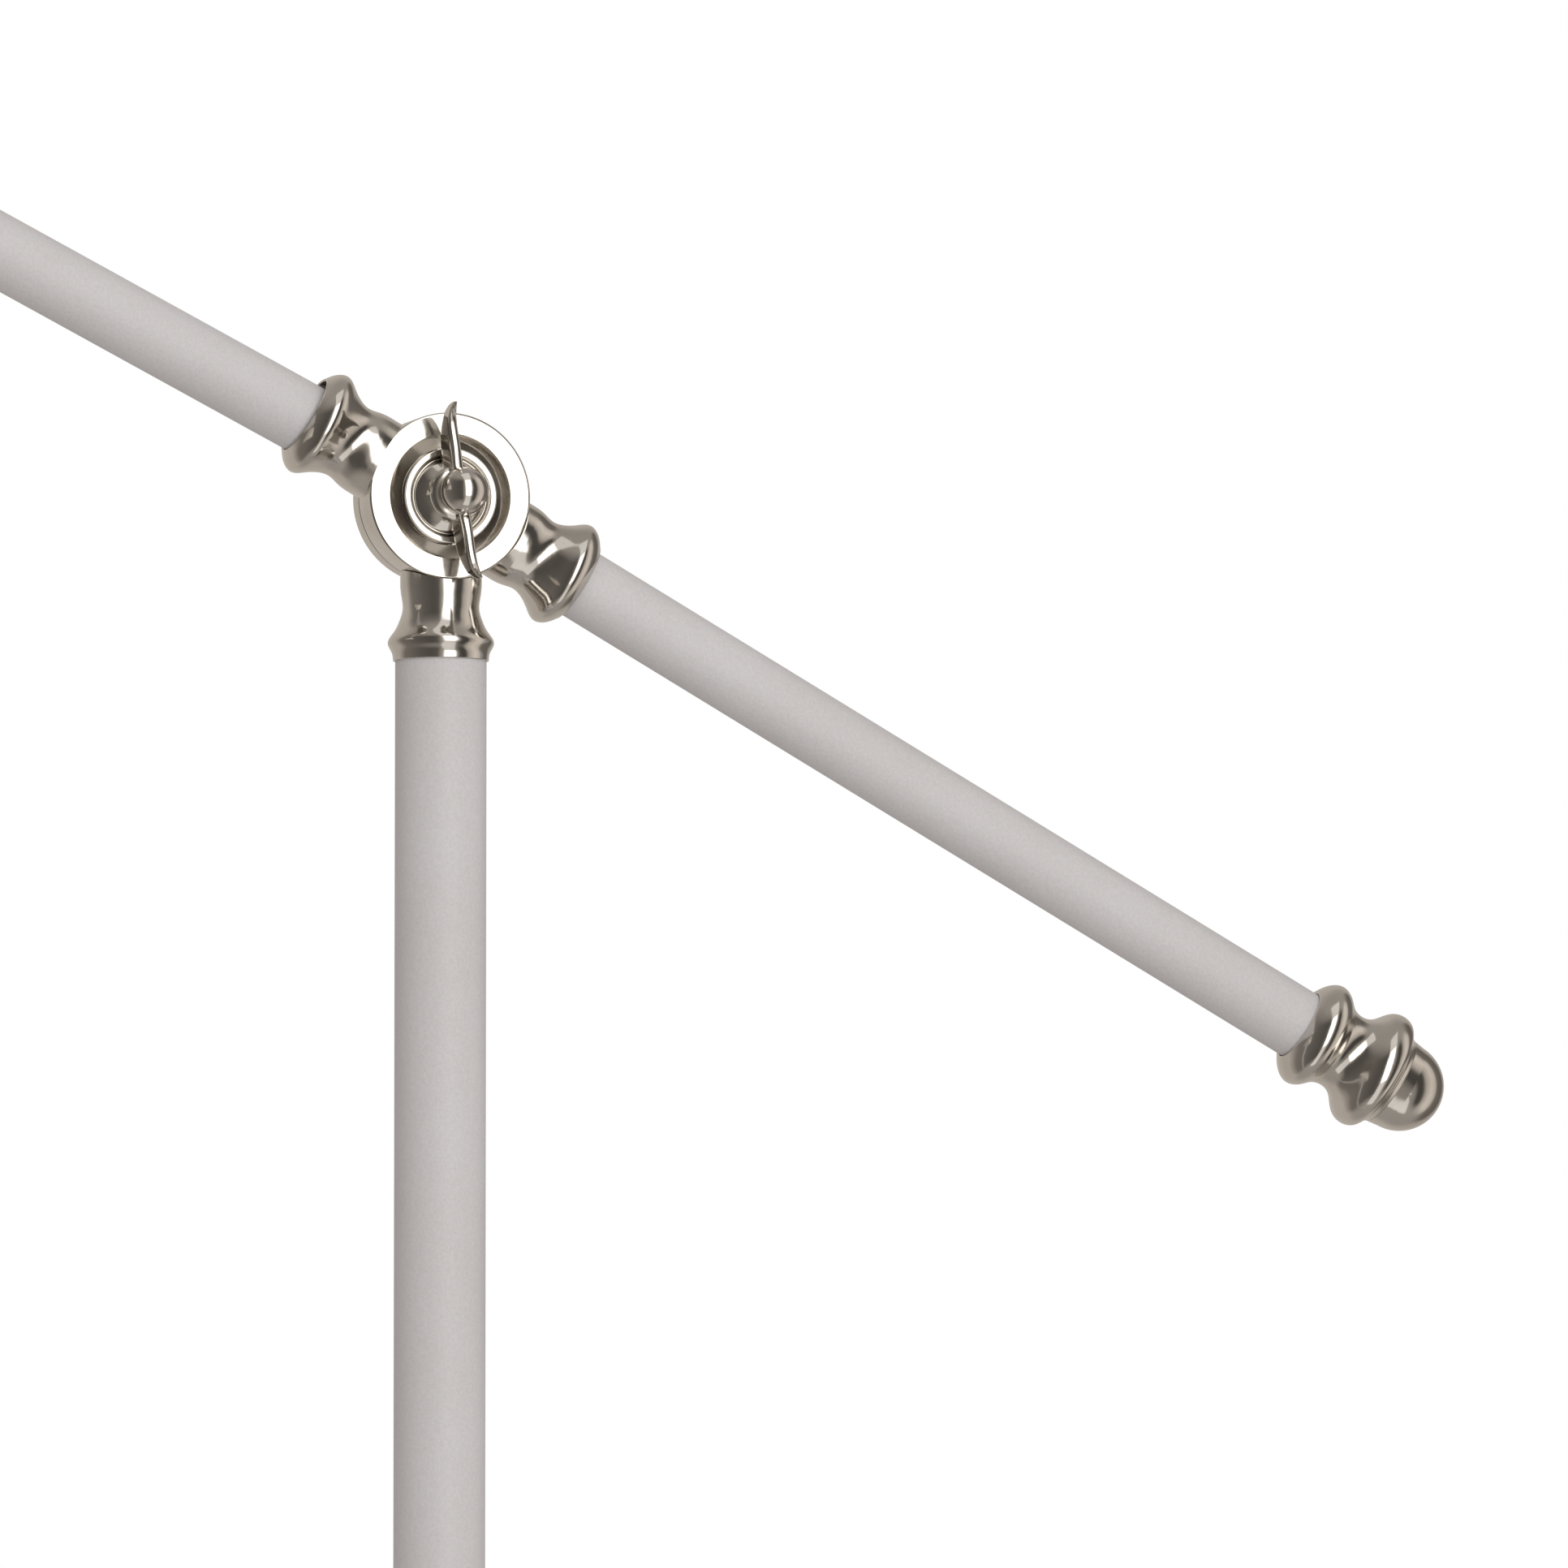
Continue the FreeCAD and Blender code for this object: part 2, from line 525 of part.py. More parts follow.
# ---- lamp head, measured down from the head pivot ----
ROD_R = 6.0
CUP_R = 20.0
HOLDER_R = 17.5
HOLDER_END = 152.0
SOCKET_AT = 122.0        # floor of the lampholder's socket
RING_AT = 116.0          # where the shade's fitting sits on the lampholder
HUB = 1.5                # thickness of that fitting's hub plate
HUB_R = 29.0
WIRE_R = 1.5             # the shade frame's wire
HOOP_INSET = 4.0         # how far its hoops lie inside the shade's edges
SHELL_R = 14.4
KEY_AT = 100.0           # the switch key's axis
KEY_R = 1.5
GLASS = 0.9
GLASS_AT = 153.5         # where the bulb's glass meets its cap
GLOBE_R = 30.0
GLOBE_AT = 205.0         # centre of the bulb's round end


def make_hanger():
    recess = HEAD_PARTING - 0.9
    disc = lathe([(HEAD_BOLT_R + FIT, -HEAD_FACE), (HEAD_DISC_R - 1.2, -HEAD_FACE),
                  [(HEAD_DISC_R - 0.35, -HEAD_FACE + 0.35), (HEAD_DISC_R, -HEAD_FACE + 1.2)],
                  (HEAD_DISC_R, HEAD_PARTING - PART_GAP), (9.0, HEAD_PARTING - PART_GAP), (9.0, recess),
                  (HEAD_BOLT_R + FIT, recess)], HEAD_PIVOT, FRONT)
    stem = lathe([(0, 5.0), (7.6, 5.0), (7.6, 21.5),
                  [(7.45, 23.0), (7.2, 26.0), (8.0, 29.0), (10.0, 31.6), (10.8, 34.4), (10.0, 37.2),
                   (8.2, 39.0)], (0, 39.0)], HEAD_PIVOT, DOWN)
    hanger = pivot_half(disc, [stem], False, HEAD_DISC_R, HEAD_PARTING, HEAD_PIVOT)
    save("head_hanger", hanger.cut(rod(ROD_R, ROD_START - 0.3, 40.0, HEAD_PIVOT, DOWN)))
    save("head_friction_washer",
         tube(9.0 - FIT, HEAD_BOLT_R + 0.2, recess, HEAD_PARTING + 0.1, HEAD_PIVOT, FRONT))
    dome = (8.0, 4.8 - HEAD_FACE, 6.2, -1)
    screw_head = lathe([(0, -HEAD_FACE), (6.2, -HEAD_FACE), ball_join(*dome), ball_end(*dome)],
                       HEAD_PIVOT, FRONT)
    shank = rod(HEAD_BOLT_R, -HEAD_FACE - 0.5, HEAD_FACE + 4.0, HEAD_PIVOT, FRONT)
    slot = Part.makeBox(14, 1.4, 1.6, HEAD_PIVOT + Vector(-7, HEAD_FACE + 2.0, -0.8))
    save("head_pivot_screw", fused(screw_head, shank).cut(slot))
    save("head_cap_nut", make_cap_nut())


def make_cap_nut():
    """Domed hexagon nut that sets the head pivot's friction."""
    low = HEAD_FACE + 0.3
    dome_r = 5.6
    dome = lathe([(0, low + 4.0), (dome_r, low + 4.0), (dome_r, low + 5.6),
                  ball_end(dome_r, low + 5.6, dome_r)])
    flange = rod(7.4, low, low + 1.0)
    nut = fused(flange, hexagon(12, low + 1.0, low + 4.6), dome)
    return placed(nut.cut(rod(HEAD_BOLT_R, low - 1, HEAD_FACE + 4.6)), HEAD_PIVOT, FRONT)


def make_lampholder():
    rod_r = ROD_R - 0.02
    save("hanger_rod", tube(rod_r, 4.2, ROD_START, ROD_END, HEAD_PIVOT, DOWN))
    # spun cup: neck on the rod, then a bell over the lampholder's cap
    cup_out = [(rod_r, 70.0), (8.6, 70.0), [(9.4, 71.2), (9.0, 72.6)],
               [(9.6, 74.6), (13.4, 77.6), (17.8, 82.0), (19.6, 88.0), (CUP_R, 96.0), (CUP_R, 106.0)],
               [(CUP_R + 0.9, 107.2), (CUP_R, 108.4)], (CUP_R - 1.2, 108.4), (CUP_R - 1.2, 96.0),
               [(18.2, 88.4), (16.6, 83.4), (12.6, 79.4), (8.6, 77.0)], (rod_r, 76.6)]
    key_axis = HEAD_PIVOT + DOWN * KEY_AT
    save("socket_cup", lathe(cup_out, HEAD_PIVOT, DOWN).cut(rod(2.2, 12, 26, key_axis, FRONT)))
    socket_r = SHELL_R + 0.7
    body = lathe([(ROD_R, HOLDER_TOP), (14.5, HOLDER_TOP), (HOLDER_R, 92.0), (HOLDER_R + 0.9, 93.0),
                  (HOLDER_R + 0.9, RING_AT - 2.5), (HOLDER_R + 2.0, RING_AT - 2.0), (HOLDER_R + 2.0, RING_AT),
                  (HOLDER_R, RING_AT), (HOLDER_R, HOLDER_END - 1), (HOLDER_R - 1, HOLDER_END),
                  (socket_r, HOLDER_END), (socket_r, SOCKET_AT), (ROD_R, SOCKET_AT)], HEAD_PIVOT, DOWN)
    save("lampholder_body", body.cut(rod(KEY_R + RUN, 12, 26, key_axis, FRONT)))
    save("lampholder_shell", tube(socket_r - FIT, SHELL_R, SOCKET_AT + 1, HOLDER_END - 7, HEAD_PIVOT, DOWN))
    contact = Part.makeBox(5, 8, 0.8, HEAD_PIVOT + DOWN * (SOCKET_AT + 1.2) + Vector(-2.5, -4, 0))
    save("centre_contact", contact)
    inner = HOLDER_R + FIT
    skirt = HOLDER_R + 3.2
    ring = lathe([(inner, RING_AT + HUB), (26.0, RING_AT + HUB), (26.0, RING_AT + HUB + 1.2),
                  (skirt, RING_AT + 3.4), (skirt, RING_AT + 9.0), (inner, RING_AT + 9.0)],
                 HEAD_PIVOT, DOWN)
    save("shade_ring_nut", ring)
    save("switch_key", make_switch_key())


def make_switch_key():
    """Turn key of the lampholder's switch, reaching out to the front through the cup."""
    centre = HEAD_PIVOT + DOWN * KEY_AT
    stem = rod(KEY_R, HOLDER_R - 4, 34, centre, FRONT)
    paddle = Part.makeBox(11, 1.8, 7.0, Vector(-5.5, -0.9, 33.0))
    paddle = paddle.makeFillet(0.6, paddle.Edges)
    return fused(stem, placed(paddle, centre, FRONT))


def globe_outline(inset):
    """Pear-shaped glass, moved in by inset."""
    neck = 13.6 - inset
    ball = GLOBE_R - inset
    wide = ball - 1.5
    return [(0, GLASS_AT), (neck, GLASS_AT),
            [(neck + 1.4, GLASS_AT + 8.5), (neck + 5.0, GLASS_AT + 19.5), (neck + 11.2, GLASS_AT + 31.1),
             ball_join(ball, GLOBE_AT, wide, -1)],
            [(ball, GLOBE_AT), ball_join(ball, GLOBE_AT, wide)], ball_end(ball, GLOBE_AT, wide)]


def make_bulb():
    cap_r = 13.0
    tip = SOCKET_AT + 2.0
    cap = lathe([(0, tip), (4.5, tip), (5.0, tip + 2.0), (11.5, tip + 4.5), (cap_r, tip + 6.0),
                 (cap_r, GLASS_AT - 3.5), (cap_r + 0.4, GLASS_AT), (0, GLASS_AT)], HEAD_PIVOT, DOWN)
    save("bulb_cap", cap)
    globe = lathe(globe_outline(0)).cut(lathe(globe_outline(GLASS)))
    save("bulb_globe", placed(globe, HEAD_PIVOT, DOWN))


def shade_radius(height):
    """Outside radius of the shade at a distance below the head pivot."""
    share = (height - SHADE_TOP) / SHADE_HEIGHT
    return SHADE_TOP_R + (SHADE_BOTTOM_R - SHADE_TOP_R) * share


def hoop_radius(height):
    """Radius of a wire hoop that lies against the shade's inside, 0.4 mm off it."""
    return shade_radius(height) - SHADE_WALL - WIRE_R - 0.4


def hoop(height):
    """Wire hoop inside the shade, at a distance below the head pivot."""
    return Part.makeTorus(hoop_radius(height), WIRE_R, HEAD_PIVOT + DOWN * height, UP)


def make_shade():
    bottom = SHADE_TOP + SHADE_HEIGHT
    cone = lathe([(SHADE_TOP_R - SHADE_WALL, SHADE_TOP), (SHADE_TOP_R, SHADE_TOP),
                  (SHADE_BOTTOM_R, bottom), (SHADE_BOTTOM_R - SHADE_WALL, bottom)], HEAD_PIVOT, DOWN)
    save("shade", cone)
    hub_at = RING_AT + HUB / 2
    top_at = SHADE_TOP + HOOP_INSET
    hub = tube(HUB_R, HOLDER_R + 0.4, RING_AT, RING_AT + HUB, HEAD_PIVOT, DOWN)
    pieces = [hub, hoop(top_at)]
    for i in range(3):
        turn = Rotation(UP, 90 + 120 * i).multVec(Vector(1, 0, 0))
        inner = HEAD_PIVOT + DOWN * hub_at + turn * (HUB_R - 1.3)
        outer = HEAD_PIVOT + DOWN * top_at + turn * hoop_radius(top_at)
        run = outer - inner
        pieces.append(Part.makeCylinder(WIRE_R, run.Length, inner, run))
    save("shade_spider", fused(*pieces))
    save("shade_bottom_ring", hoop(bottom - HOOP_INSET))


os.makedirs("parts", exist_ok=True)
make_base()
make_post()
make_post_knuckle()
make_arm_knuckle()
make_pivot_hardware()
make_wing_knob()
make_tail()
make_head_arm()
make_post_lead()
make_hanger()
make_lampholder()
make_bulb()
make_shade()
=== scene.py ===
import json
import math

import bmesh
import bpy
import numpy as np
from mathutils import Matrix, Vector


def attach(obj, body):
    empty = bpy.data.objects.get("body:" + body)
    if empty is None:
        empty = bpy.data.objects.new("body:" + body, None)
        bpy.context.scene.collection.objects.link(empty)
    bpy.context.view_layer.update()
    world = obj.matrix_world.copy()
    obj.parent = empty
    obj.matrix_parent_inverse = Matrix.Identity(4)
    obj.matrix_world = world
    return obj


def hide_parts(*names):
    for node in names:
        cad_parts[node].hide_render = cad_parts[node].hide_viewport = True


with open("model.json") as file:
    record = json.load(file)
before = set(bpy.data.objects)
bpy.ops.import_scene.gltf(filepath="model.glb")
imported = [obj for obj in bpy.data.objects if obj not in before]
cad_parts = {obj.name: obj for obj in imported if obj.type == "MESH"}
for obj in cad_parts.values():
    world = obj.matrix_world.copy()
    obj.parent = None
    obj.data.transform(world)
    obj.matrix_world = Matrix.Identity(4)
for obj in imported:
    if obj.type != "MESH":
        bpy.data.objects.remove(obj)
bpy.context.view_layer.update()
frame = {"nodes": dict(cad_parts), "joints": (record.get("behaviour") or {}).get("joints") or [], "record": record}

# ---- driving values ----
MM = 0.001
POST_R = 14.0            # outlines are in millimetres, as (radius, distance along the axis)
ARM_R = 11.0
WALL = 1.5
ARM_SLOPE = 29.25        # degrees, tail side below level
HEAD_DROOP = 2.65        # degrees, the head tube sags this much in its collar
DROOP_AT = 27.5          # distance from the pivot at which the head tube's axis leaves the arm line
DISC_R = 25.6            # the pivot's two discs, measured along -Y from the stems' axis
FACE = 10.0              # front face, and the back face at -FACE
RIM = 0.7                # rounding of the front edge
PARTING = -2.5           # the plane between the two discs
PART_GAP = 0.15          # each disc stays this far from it
ROOT = 0.4               # a stem reaches this far into its own disc's rim
SADDLE = 0.2             # and clears the other disc's rim by this much
MOUTH = 50.0             # distance from the pivot to the mouth of each collar
TUBE_STOP = 42.0         # and to the end of the tube inside it
HEAD_DISC_R = 20.0
HEAD_FACE = 7.5
SHARP_ANGLE = 32         # degrees between two faces from which their edge stays sharp

UP = Vector((0, 0, 1))
DOWN = Vector((0, 0, -1))
FRONT = Vector((0, -1, 0))

JOINTS = {joint["name"]: joint for joint in frame["joints"]}
PIVOT = Vector((0, 0, JOINTS["arm_tilt"]["pos_m"][2]))
HEAD_PIVOT = Vector((JOINTS["head_tilt"]["pos_m"][0], 0, JOINTS["head_tilt"]["pos_m"][2]))


def sloped(degrees, side):
    """Unit vector in the XZ plane, towards side * X and rising by degrees."""
    angle = math.radians(degrees)
    return Vector((side * math.cos(angle), 0, math.sin(angle)))


TAIL_DIR = sloped(-ARM_SLOPE, 1)
STEM_DIR = sloped(ARM_SLOPE, -1)
HEAD_DIR = sloped(ARM_SLOPE - HEAD_DROOP, -1)
BEND = PIVOT + STEM_DIR * DROOP_AT * MM


# ---- camera and light ----
VIEW_AZIMUTH = -17.65
VIEW_ELEVATION = -4.69
VIEW_DISTANCE = 4.61
VIEW_RIGHT = 0.10507
VIEW_UP = -0.08738
LENS = 345.35
# the room round the lamp: azimuth in degrees, brightness
ROOM = [(-180, 0.58), (-134, 0.55), (-112, 0.22), (-70, 0.14), (-40, 0.105), (-24, 0.12), (-14, 0.40),
        (24, 0.30), (32, 0.075), (46, 0.08), (56, 0.55), (74, 0.85), (88, 0.70), (98, 0.20), (122, 0.15),
        (136, 0.50), (180, 0.58)]
ROOM_TINT = (1.0, 0.92, 0.84)
ROOM_ENDS = (0.40, 0.375, 0.35, 1)      # its ceiling and its floor
STEEP = (0.62, 0.94)                    # height of a unit direction where the walls fade into them
AMBIENT = (0.56, 0.535, 0.52, 1)        # what the room gives to matt surfaces
KEY_AZIMUTH = 6.0
LIGHT_DISTANCE = 2.3
LIGHT_COLOUR = (1.0, 0.998, 0.995)


def view_basis(azimuth, elevation):
    """Right, up and back unit vectors of a view from that direction."""
    a = math.radians(azimuth)
    e = math.radians(elevation)
    back = Vector((math.sin(a) * math.cos(e), -math.cos(a) * math.cos(e), math.sin(e)))
    right = Vector((math.cos(a), math.sin(a), 0))
    return right, back.cross(right), back


def stand(place, basis):
    """Matrix of a camera or a light that stands at place with those axes."""
    return Matrix.Translation(place) @ Matrix(basis).transposed().to_4x4()


def make_camera():
    right, up, back = view_basis(VIEW_AZIMUTH, VIEW_ELEVATION)
    data = bpy.data.cameras.new("camera")
    data.lens = LENS
    data.sensor_width = 36
    data.clip_end = 200
    camera = bpy.data.objects.new("camera", data)
    bpy.context.scene.collection.objects.link(camera)
    place = PIVOT + back * VIEW_DISTANCE + right * VIEW_RIGHT + up * VIEW_UP
    camera.matrix_world = stand(place, (right, up, back))
    bpy.context.scene.camera = camera


def area_light(name, elevation, distance, width, height, watts):
    """Softbox that faces the pivot from that elevation, on the key light's side."""
    basis = view_basis(KEY_AZIMUTH, elevation)
    data = bpy.data.lights.new(name, "AREA")
    data.shape = "RECTANGLE"
    data.size = width
    data.size_y = height
    data.energy = watts
    data.color = LIGHT_COLOUR
    light = bpy.data.objects.new(name, data)
    light.matrix_world = stand(PIVOT + basis[2] * distance, basis)
    light.visible_camera = False
    bpy.context.scene.collection.objects.link(light)
    return light


def math_node(tree, operation, first, second):
    """Math node over two values, each a socket or a number."""
    node = tree.nodes.new("ShaderNodeMath")
    node.operation = operation
    for value, socket in ((first, node.inputs[0]), (second, node.inputs[1])):
        if isinstance(value, float):
            socket.default_value = value
        else:
            tree.links.new(value, socket)
    return node.outputs[0]


def make_world():
    """White for the camera; for reflections a room whose walls change brightness with azimuth."""
    world = bpy.data.worlds.new("studio")
    bpy.context.scene.world = world
    world.use_nodes = True
    tree = world.node_tree
    tree.nodes.clear()
    link = tree.links.new
    out = tree.nodes.new("ShaderNodeOutputWorld")
    axes = tree.nodes.new("ShaderNodeSeparateXYZ")
    link(tree.nodes.new("ShaderNodeTexCoord").outputs["Generated"], axes.inputs[0])
    front = math_node(tree, "MULTIPLY", axes.outputs["Y"], -1.0)
    turn = math_node(tree, "ARCTAN2", axes.outputs["X"], front)
    share = math_node(tree, "MULTIPLY_ADD", turn, 0.5 / math.pi)
    share.node.inputs[2].default_value = 0.5
    stops = [(azimuth / 360 + 0.5, tuple(level * tint for tint in ROOM_TINT)) for azimuth, level in ROOM]
    walls = ramp(tree, share, stops)
    steep = tree.nodes.new("ShaderNodeMapRange")
    steep.interpolation_type = "SMOOTHSTEP"
    steep.inputs["From Min"].default_value = STEEP[0]
    steep.inputs["From Max"].default_value = STEEP[1]
    link(math_node(tree, "ABSOLUTE", axes.outputs["Z"], 0.0), steep.inputs["Value"])
    mix = tree.nodes.new("ShaderNodeMix")
    mix.data_type = "RGBA"
    mix.inputs[7].default_value = ROOM_ENDS
    link(steep.outputs["Result"], mix.inputs["Factor"])
    link(walls, mix.inputs[6])
    room = tree.nodes.new("ShaderNodeBackground")
    link(mix.outputs[2], room.inputs["Color"])
    path = tree.nodes.new("ShaderNodeLightPath")
    seen = room.outputs["Background"]
    for ray, colour in (("Is Diffuse Ray", AMBIENT), ("Is Camera Ray", (1, 1, 1, 1))):
        plain = tree.nodes.new("ShaderNodeBackground")
        plain.inputs["Color"].default_value = colour
        choice = tree.nodes.new("ShaderNodeMixShader")
        link(path.outputs[ray], choice.inputs["Fac"])
        link(seen, choice.inputs[1])
        link(plain.outputs["Background"], choice.inputs[2])
        seen = choice.outputs["Shader"]
    link(seen, out.inputs["Surface"])


def make_light():
    make_world()
    area_light("softbox_front", 10.0, LIGHT_DISTANCE, 1.10, 3.3, 18)
    area_light("softbox_edge", 10.0, LIGHT_DISTANCE + 0.05, 1.45, 3.7, 12)
    area_light("softbox_top", 66.0, LIGHT_DISTANCE, 1.2, 1.7, 3)
    low = area_light("bounce_low", -52.0, LIGHT_DISTANCE, 1.0, 2.2, 3.5)
    low.visible_diffuse = False
    view = bpy.context.scene.view_settings
    view.view_transform = "Standard"
    view.look = "None"


# ---- shape helpers ----
def spline_run(points, step=0.5):
    """Smooth curve through points: a natural cubic spline over the chord length."""
    p = np.array(points, float)
    chord = np.concatenate([[0], np.cumsum(np.linalg.norm(np.diff(p, axis=0), axis=1))])
    n = len(p)
    h = np.diff(chord)
    system = np.eye(n)
    right = np.zeros((n, p.shape[1]))
    for i in range(1, n - 1):
        system[i, i - 1:i + 2] = h[i - 1], 2 * (h[i - 1] + h[i]), h[i]
        right[i] = 6 * ((p[i + 1] - p[i]) / h[i] - (p[i] - p[i - 1]) / h[i - 1])
    bend = np.linalg.solve(system, right)
    out = []
    for i in range(n - 1):
        count = max(2, math.ceil(h[i] / step))
        for u in np.linspace(0, 1, count, endpoint=False):
            a = (1 - u) * h[i]
            b = u * h[i]
            low = (a ** 3 / h[i] - h[i] * a) * bend[i] / 6
            high = (b ** 3 / h[i] - h[i] * b) * bend[i + 1] / 6
            out.append(tuple((1 - u) * p[i] + u * p[i + 1] + low + high))
    return out[1:] + [tuple(p[-1])]


def arc_run(a, m, b):
    """Arc from a through m to b, without its first point."""
    ax, ay = a
    mx, my = m
    bx, by = b
    a_square = ax * ax + ay * ay
    m_square = mx * mx + my * my
    b_square = bx * bx + by * by
    d = 2 * (ax * (my - by) + mx * (by - ay) + bx * (ay - my))
    ux = (a_square * (my - by) + m_square * (by - ay) + b_square * (ay - my)) / d
    uy = (a_square * (bx - mx) + m_square * (ax - bx) + b_square * (mx - ax)) / d
    radius = math.hypot(ax - ux, ay - uy)
    start = math.atan2(ay - uy, ax - ux)
    mid = (math.atan2(my - uy, mx - ux) - start) % (2 * math.pi)
    end = (math.atan2(by - uy, bx - ux) - start) % (2 * math.pi)
    if mid > end:
        end -= 2 * math.pi
    count = max(4, math.ceil(abs(end) / math.radians(6)))
    return [(ux + radius * math.cos(start + end * i / count), uy + radius * math.sin(start + end * i / count))
            for i in range(1, count + 1)]


def profile(outline):
    """Points of an outline: a pair ends a straight run, a list is an arc (two pairs) or a spline (more)."""
    points = [outline[0]]
    for item in outline[1:]:
        if not isinstance(item, list):
            points.append(item)
        elif len(item) == 2:
            points += arc_run(points[-1], item[0], item[1])
        else:
            points += spline_run([points[-1]] + item)
    return points


def ball_end(radius, centre, join_r, outward=1):
    """Arc of a ball centred on the axis, from where its radius is join_r to its pole."""
    join = math.asin(join_r / radius)
    return [(radius * math.sin(join / 2), centre + outward * radius * math.cos(join / 2)),
            (0, centre + outward * radius)]


def ball_join(radius, centre, join_r, outward=1):
    """The point where that arc starts."""
    return join_r, centre + outward * math.sqrt(radius ** 2 - join_r ** 2)


def axes_for(direction):
    """Two unit vectors square to direction; the second is world Y where it can be."""
    second = Vector((0, 1, 0)) if abs(direction.y) < 0.5 else Vector((0, 0, 1))
    first = second.cross(direction).normalized()
    return first, direction.cross(first).normalized()


def lathe_mesh(bm, outline, origin, direction, segments=128, closed=True):
    """Add a solid of revolution of a (radius, distance) outline to bm."""
    first, second = axes_for(direction)
    rings = []
    for radius, along in profile(outline):
        centre = origin + direction * (along * MM)
        if radius < 1e-6:
            rings.append([bm.verts.new(centre)])
            continue
        ring = []
        for i in range(segments):
            turn = 2 * math.pi * i / segments
            spoke = first * math.cos(turn) + second * math.sin(turn)
            ring.append(bm.verts.new(centre + spoke * (radius * MM)))
        rings.append(ring)
    pairs = list(zip(rings, rings[1:]))
    if closed:
        pairs.append((rings[-1], rings[0]))
    for low, high in pairs:
        bridge(bm, low, high)


def bridge(bm, low, high):
    """Faces between two rings, either of which may be a single point on the axis."""
    if len(low) == 1 and len(high) == 1:
        return
    count = max(len(low), len(high))
    for i in range(count):
        j = (i + 1) % count
        if len(low) == 1:
            bm.faces.new((low[0], high[i], high[j]))
        elif len(high) == 1:
            bm.faces.new((low[i], low[j], high[0]))
        else:
            bm.faces.new((low[i], low[j], high[j], high[i]))


def finished(name, bm, body, node, slot):
    """Turn bm into a smooth-shaded piece that stands for a CAD node, in its slot's finish."""
    bmesh.ops.remove_doubles(bm, verts=bm.verts, dist=1e-6)
    bmesh.ops.recalc_face_normals(bm, faces=bm.faces)
    mesh = bpy.data.meshes.new(name)
    bm.to_mesh(mesh)
    bm.free()
    for polygon in mesh.polygons:
        polygon.use_smooth = True
    mesh.set_sharp_from_angle(angle=math.radians(SHARP_ANGLE))
    mesh.materials.append(FINISH[slot])
    piece = bpy.data.objects.new(name, mesh)
    bpy.context.scene.collection.objects.link(piece)
    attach(piece, body)
    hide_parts(node)
    return piece


def turned(name, outline, origin, direction, body, node, slot, segments=128):
    """A piece that is one solid of revolution."""
    bm = bmesh.new()
    lathe_mesh(bm, outline, origin, direction, segments)
    finished(name, bm, body, node, slot)


def stem_shell(bm, outline, origin, direction, own_r, other_r, parting, other_side, segments=128):
    """Add a stem whose root is cut to the two discs' rims.

    The outline runs from the root's end to the axis inside the socket.  On other_side of the parting
    plane (the sign of world Y) the root stops at other_r, elsewhere it runs into its own disc.
    """
    first, second = axes_for(direction)
    points = profile(outline)
    root = points[0][0]
    rings = [[]]
    for i in range(segments):
        turn = 2 * math.pi * (i + 0.5) / segments
        across = root * math.cos(turn)
        depth = root * math.sin(turn) * second.y
        limit = other_r if (depth - parting) * other_side > 0 else own_r
        along = math.sqrt(limit ** 2 - across ** 2)
        spoke = first * math.cos(turn) + second * math.sin(turn)
        rings[0].append(bm.verts.new(origin + direction * (along * MM) + spoke * (root * MM)))
    for radius, along in points:
        centre = origin + direction * (along * MM)
        if radius < 1e-6:
            rings.append([bm.verts.new(centre)])
            continue
        rings.append([])
        for i in range(segments):
            turn = 2 * math.pi * (i + 0.5) / segments
            spoke = first * math.cos(turn) + second * math.sin(turn)
            rings[-1].append(bm.verts.new(centre + spoke * (radius * MM)))
    for low, high in zip(rings, rings[1:]):
        bridge(bm, low, high)
    start = rings[0]
    half = segments // 2
    for i in range(half - 1):
        bm.faces.new((start[i], start[i + 1], start[segments - 2 - i], start[segments - 1 - i]))


# ---- materials ----
def shader(name):
    """New material: its node tree and its Principled shader."""
    material = bpy.data.materials.new(name)
    material.use_nodes = True
    return material, material.node_tree, material.node_tree.nodes["Principled BSDF"]


def noise(tree, scale, detail=4.0, roughness=0.55, stretch=(1, 1, 1)):
    """Noise over the object's own coordinates, in metres."""
    coord = tree.nodes.new("ShaderNodeTexCoord")
    mapping = tree.nodes.new("ShaderNodeMapping")
    mapping.inputs["Scale"].default_value = stretch
    node = tree.nodes.new("ShaderNodeTexNoise")
    node.inputs["Scale"].default_value = scale
    node.inputs["Detail"].default_value = detail
    node.inputs["Roughness"].default_value = roughness
    tree.links.new(coord.outputs["Object"], mapping.inputs["Vector"])
    tree.links.new(mapping.outputs["Vector"], node.inputs["Vector"])
    return node.outputs["Fac"]


def ramp(tree, value, stops):
    """Colour ramp of (position, colour) stops over value."""
    node = tree.nodes.new("ShaderNodeValToRGB")
    while len(node.color_ramp.elements) < len(stops):
        node.color_ramp.elements.new(0.5)
    for element, (position, colour) in zip(node.color_ramp.elements, stops):
        element.position = position
        element.color = (*colour, 1)
    tree.links.new(value, node.inputs["Fac"])
    return node.outputs["Color"]


def spread(tree, value, low, high):
    """Map 0.3..0.7 of value to low..high."""
    node = tree.nodes.new("ShaderNodeMapRange")
    node.inputs["From Min"].default_value = 0.3
    node.inputs["From Max"].default_value = 0.7
    node.inputs["To Min"].default_value = low
    node.inputs["To Max"].default_value = high
    tree.links.new(value, node.inputs["Value"])
    return node.outputs["Result"]


def multiplied(tree, first, second):
    """Product of two colours."""
    mix = tree.nodes.new("ShaderNodeMix")
    mix.data_type = "RGBA"
    mix.blend_type = "MULTIPLY"
    mix.inputs["Factor"].default_value = 1.0
    tree.links.new(first, mix.inputs[6])
    tree.links.new(second, mix.inputs[7])
    return mix.outputs[2]


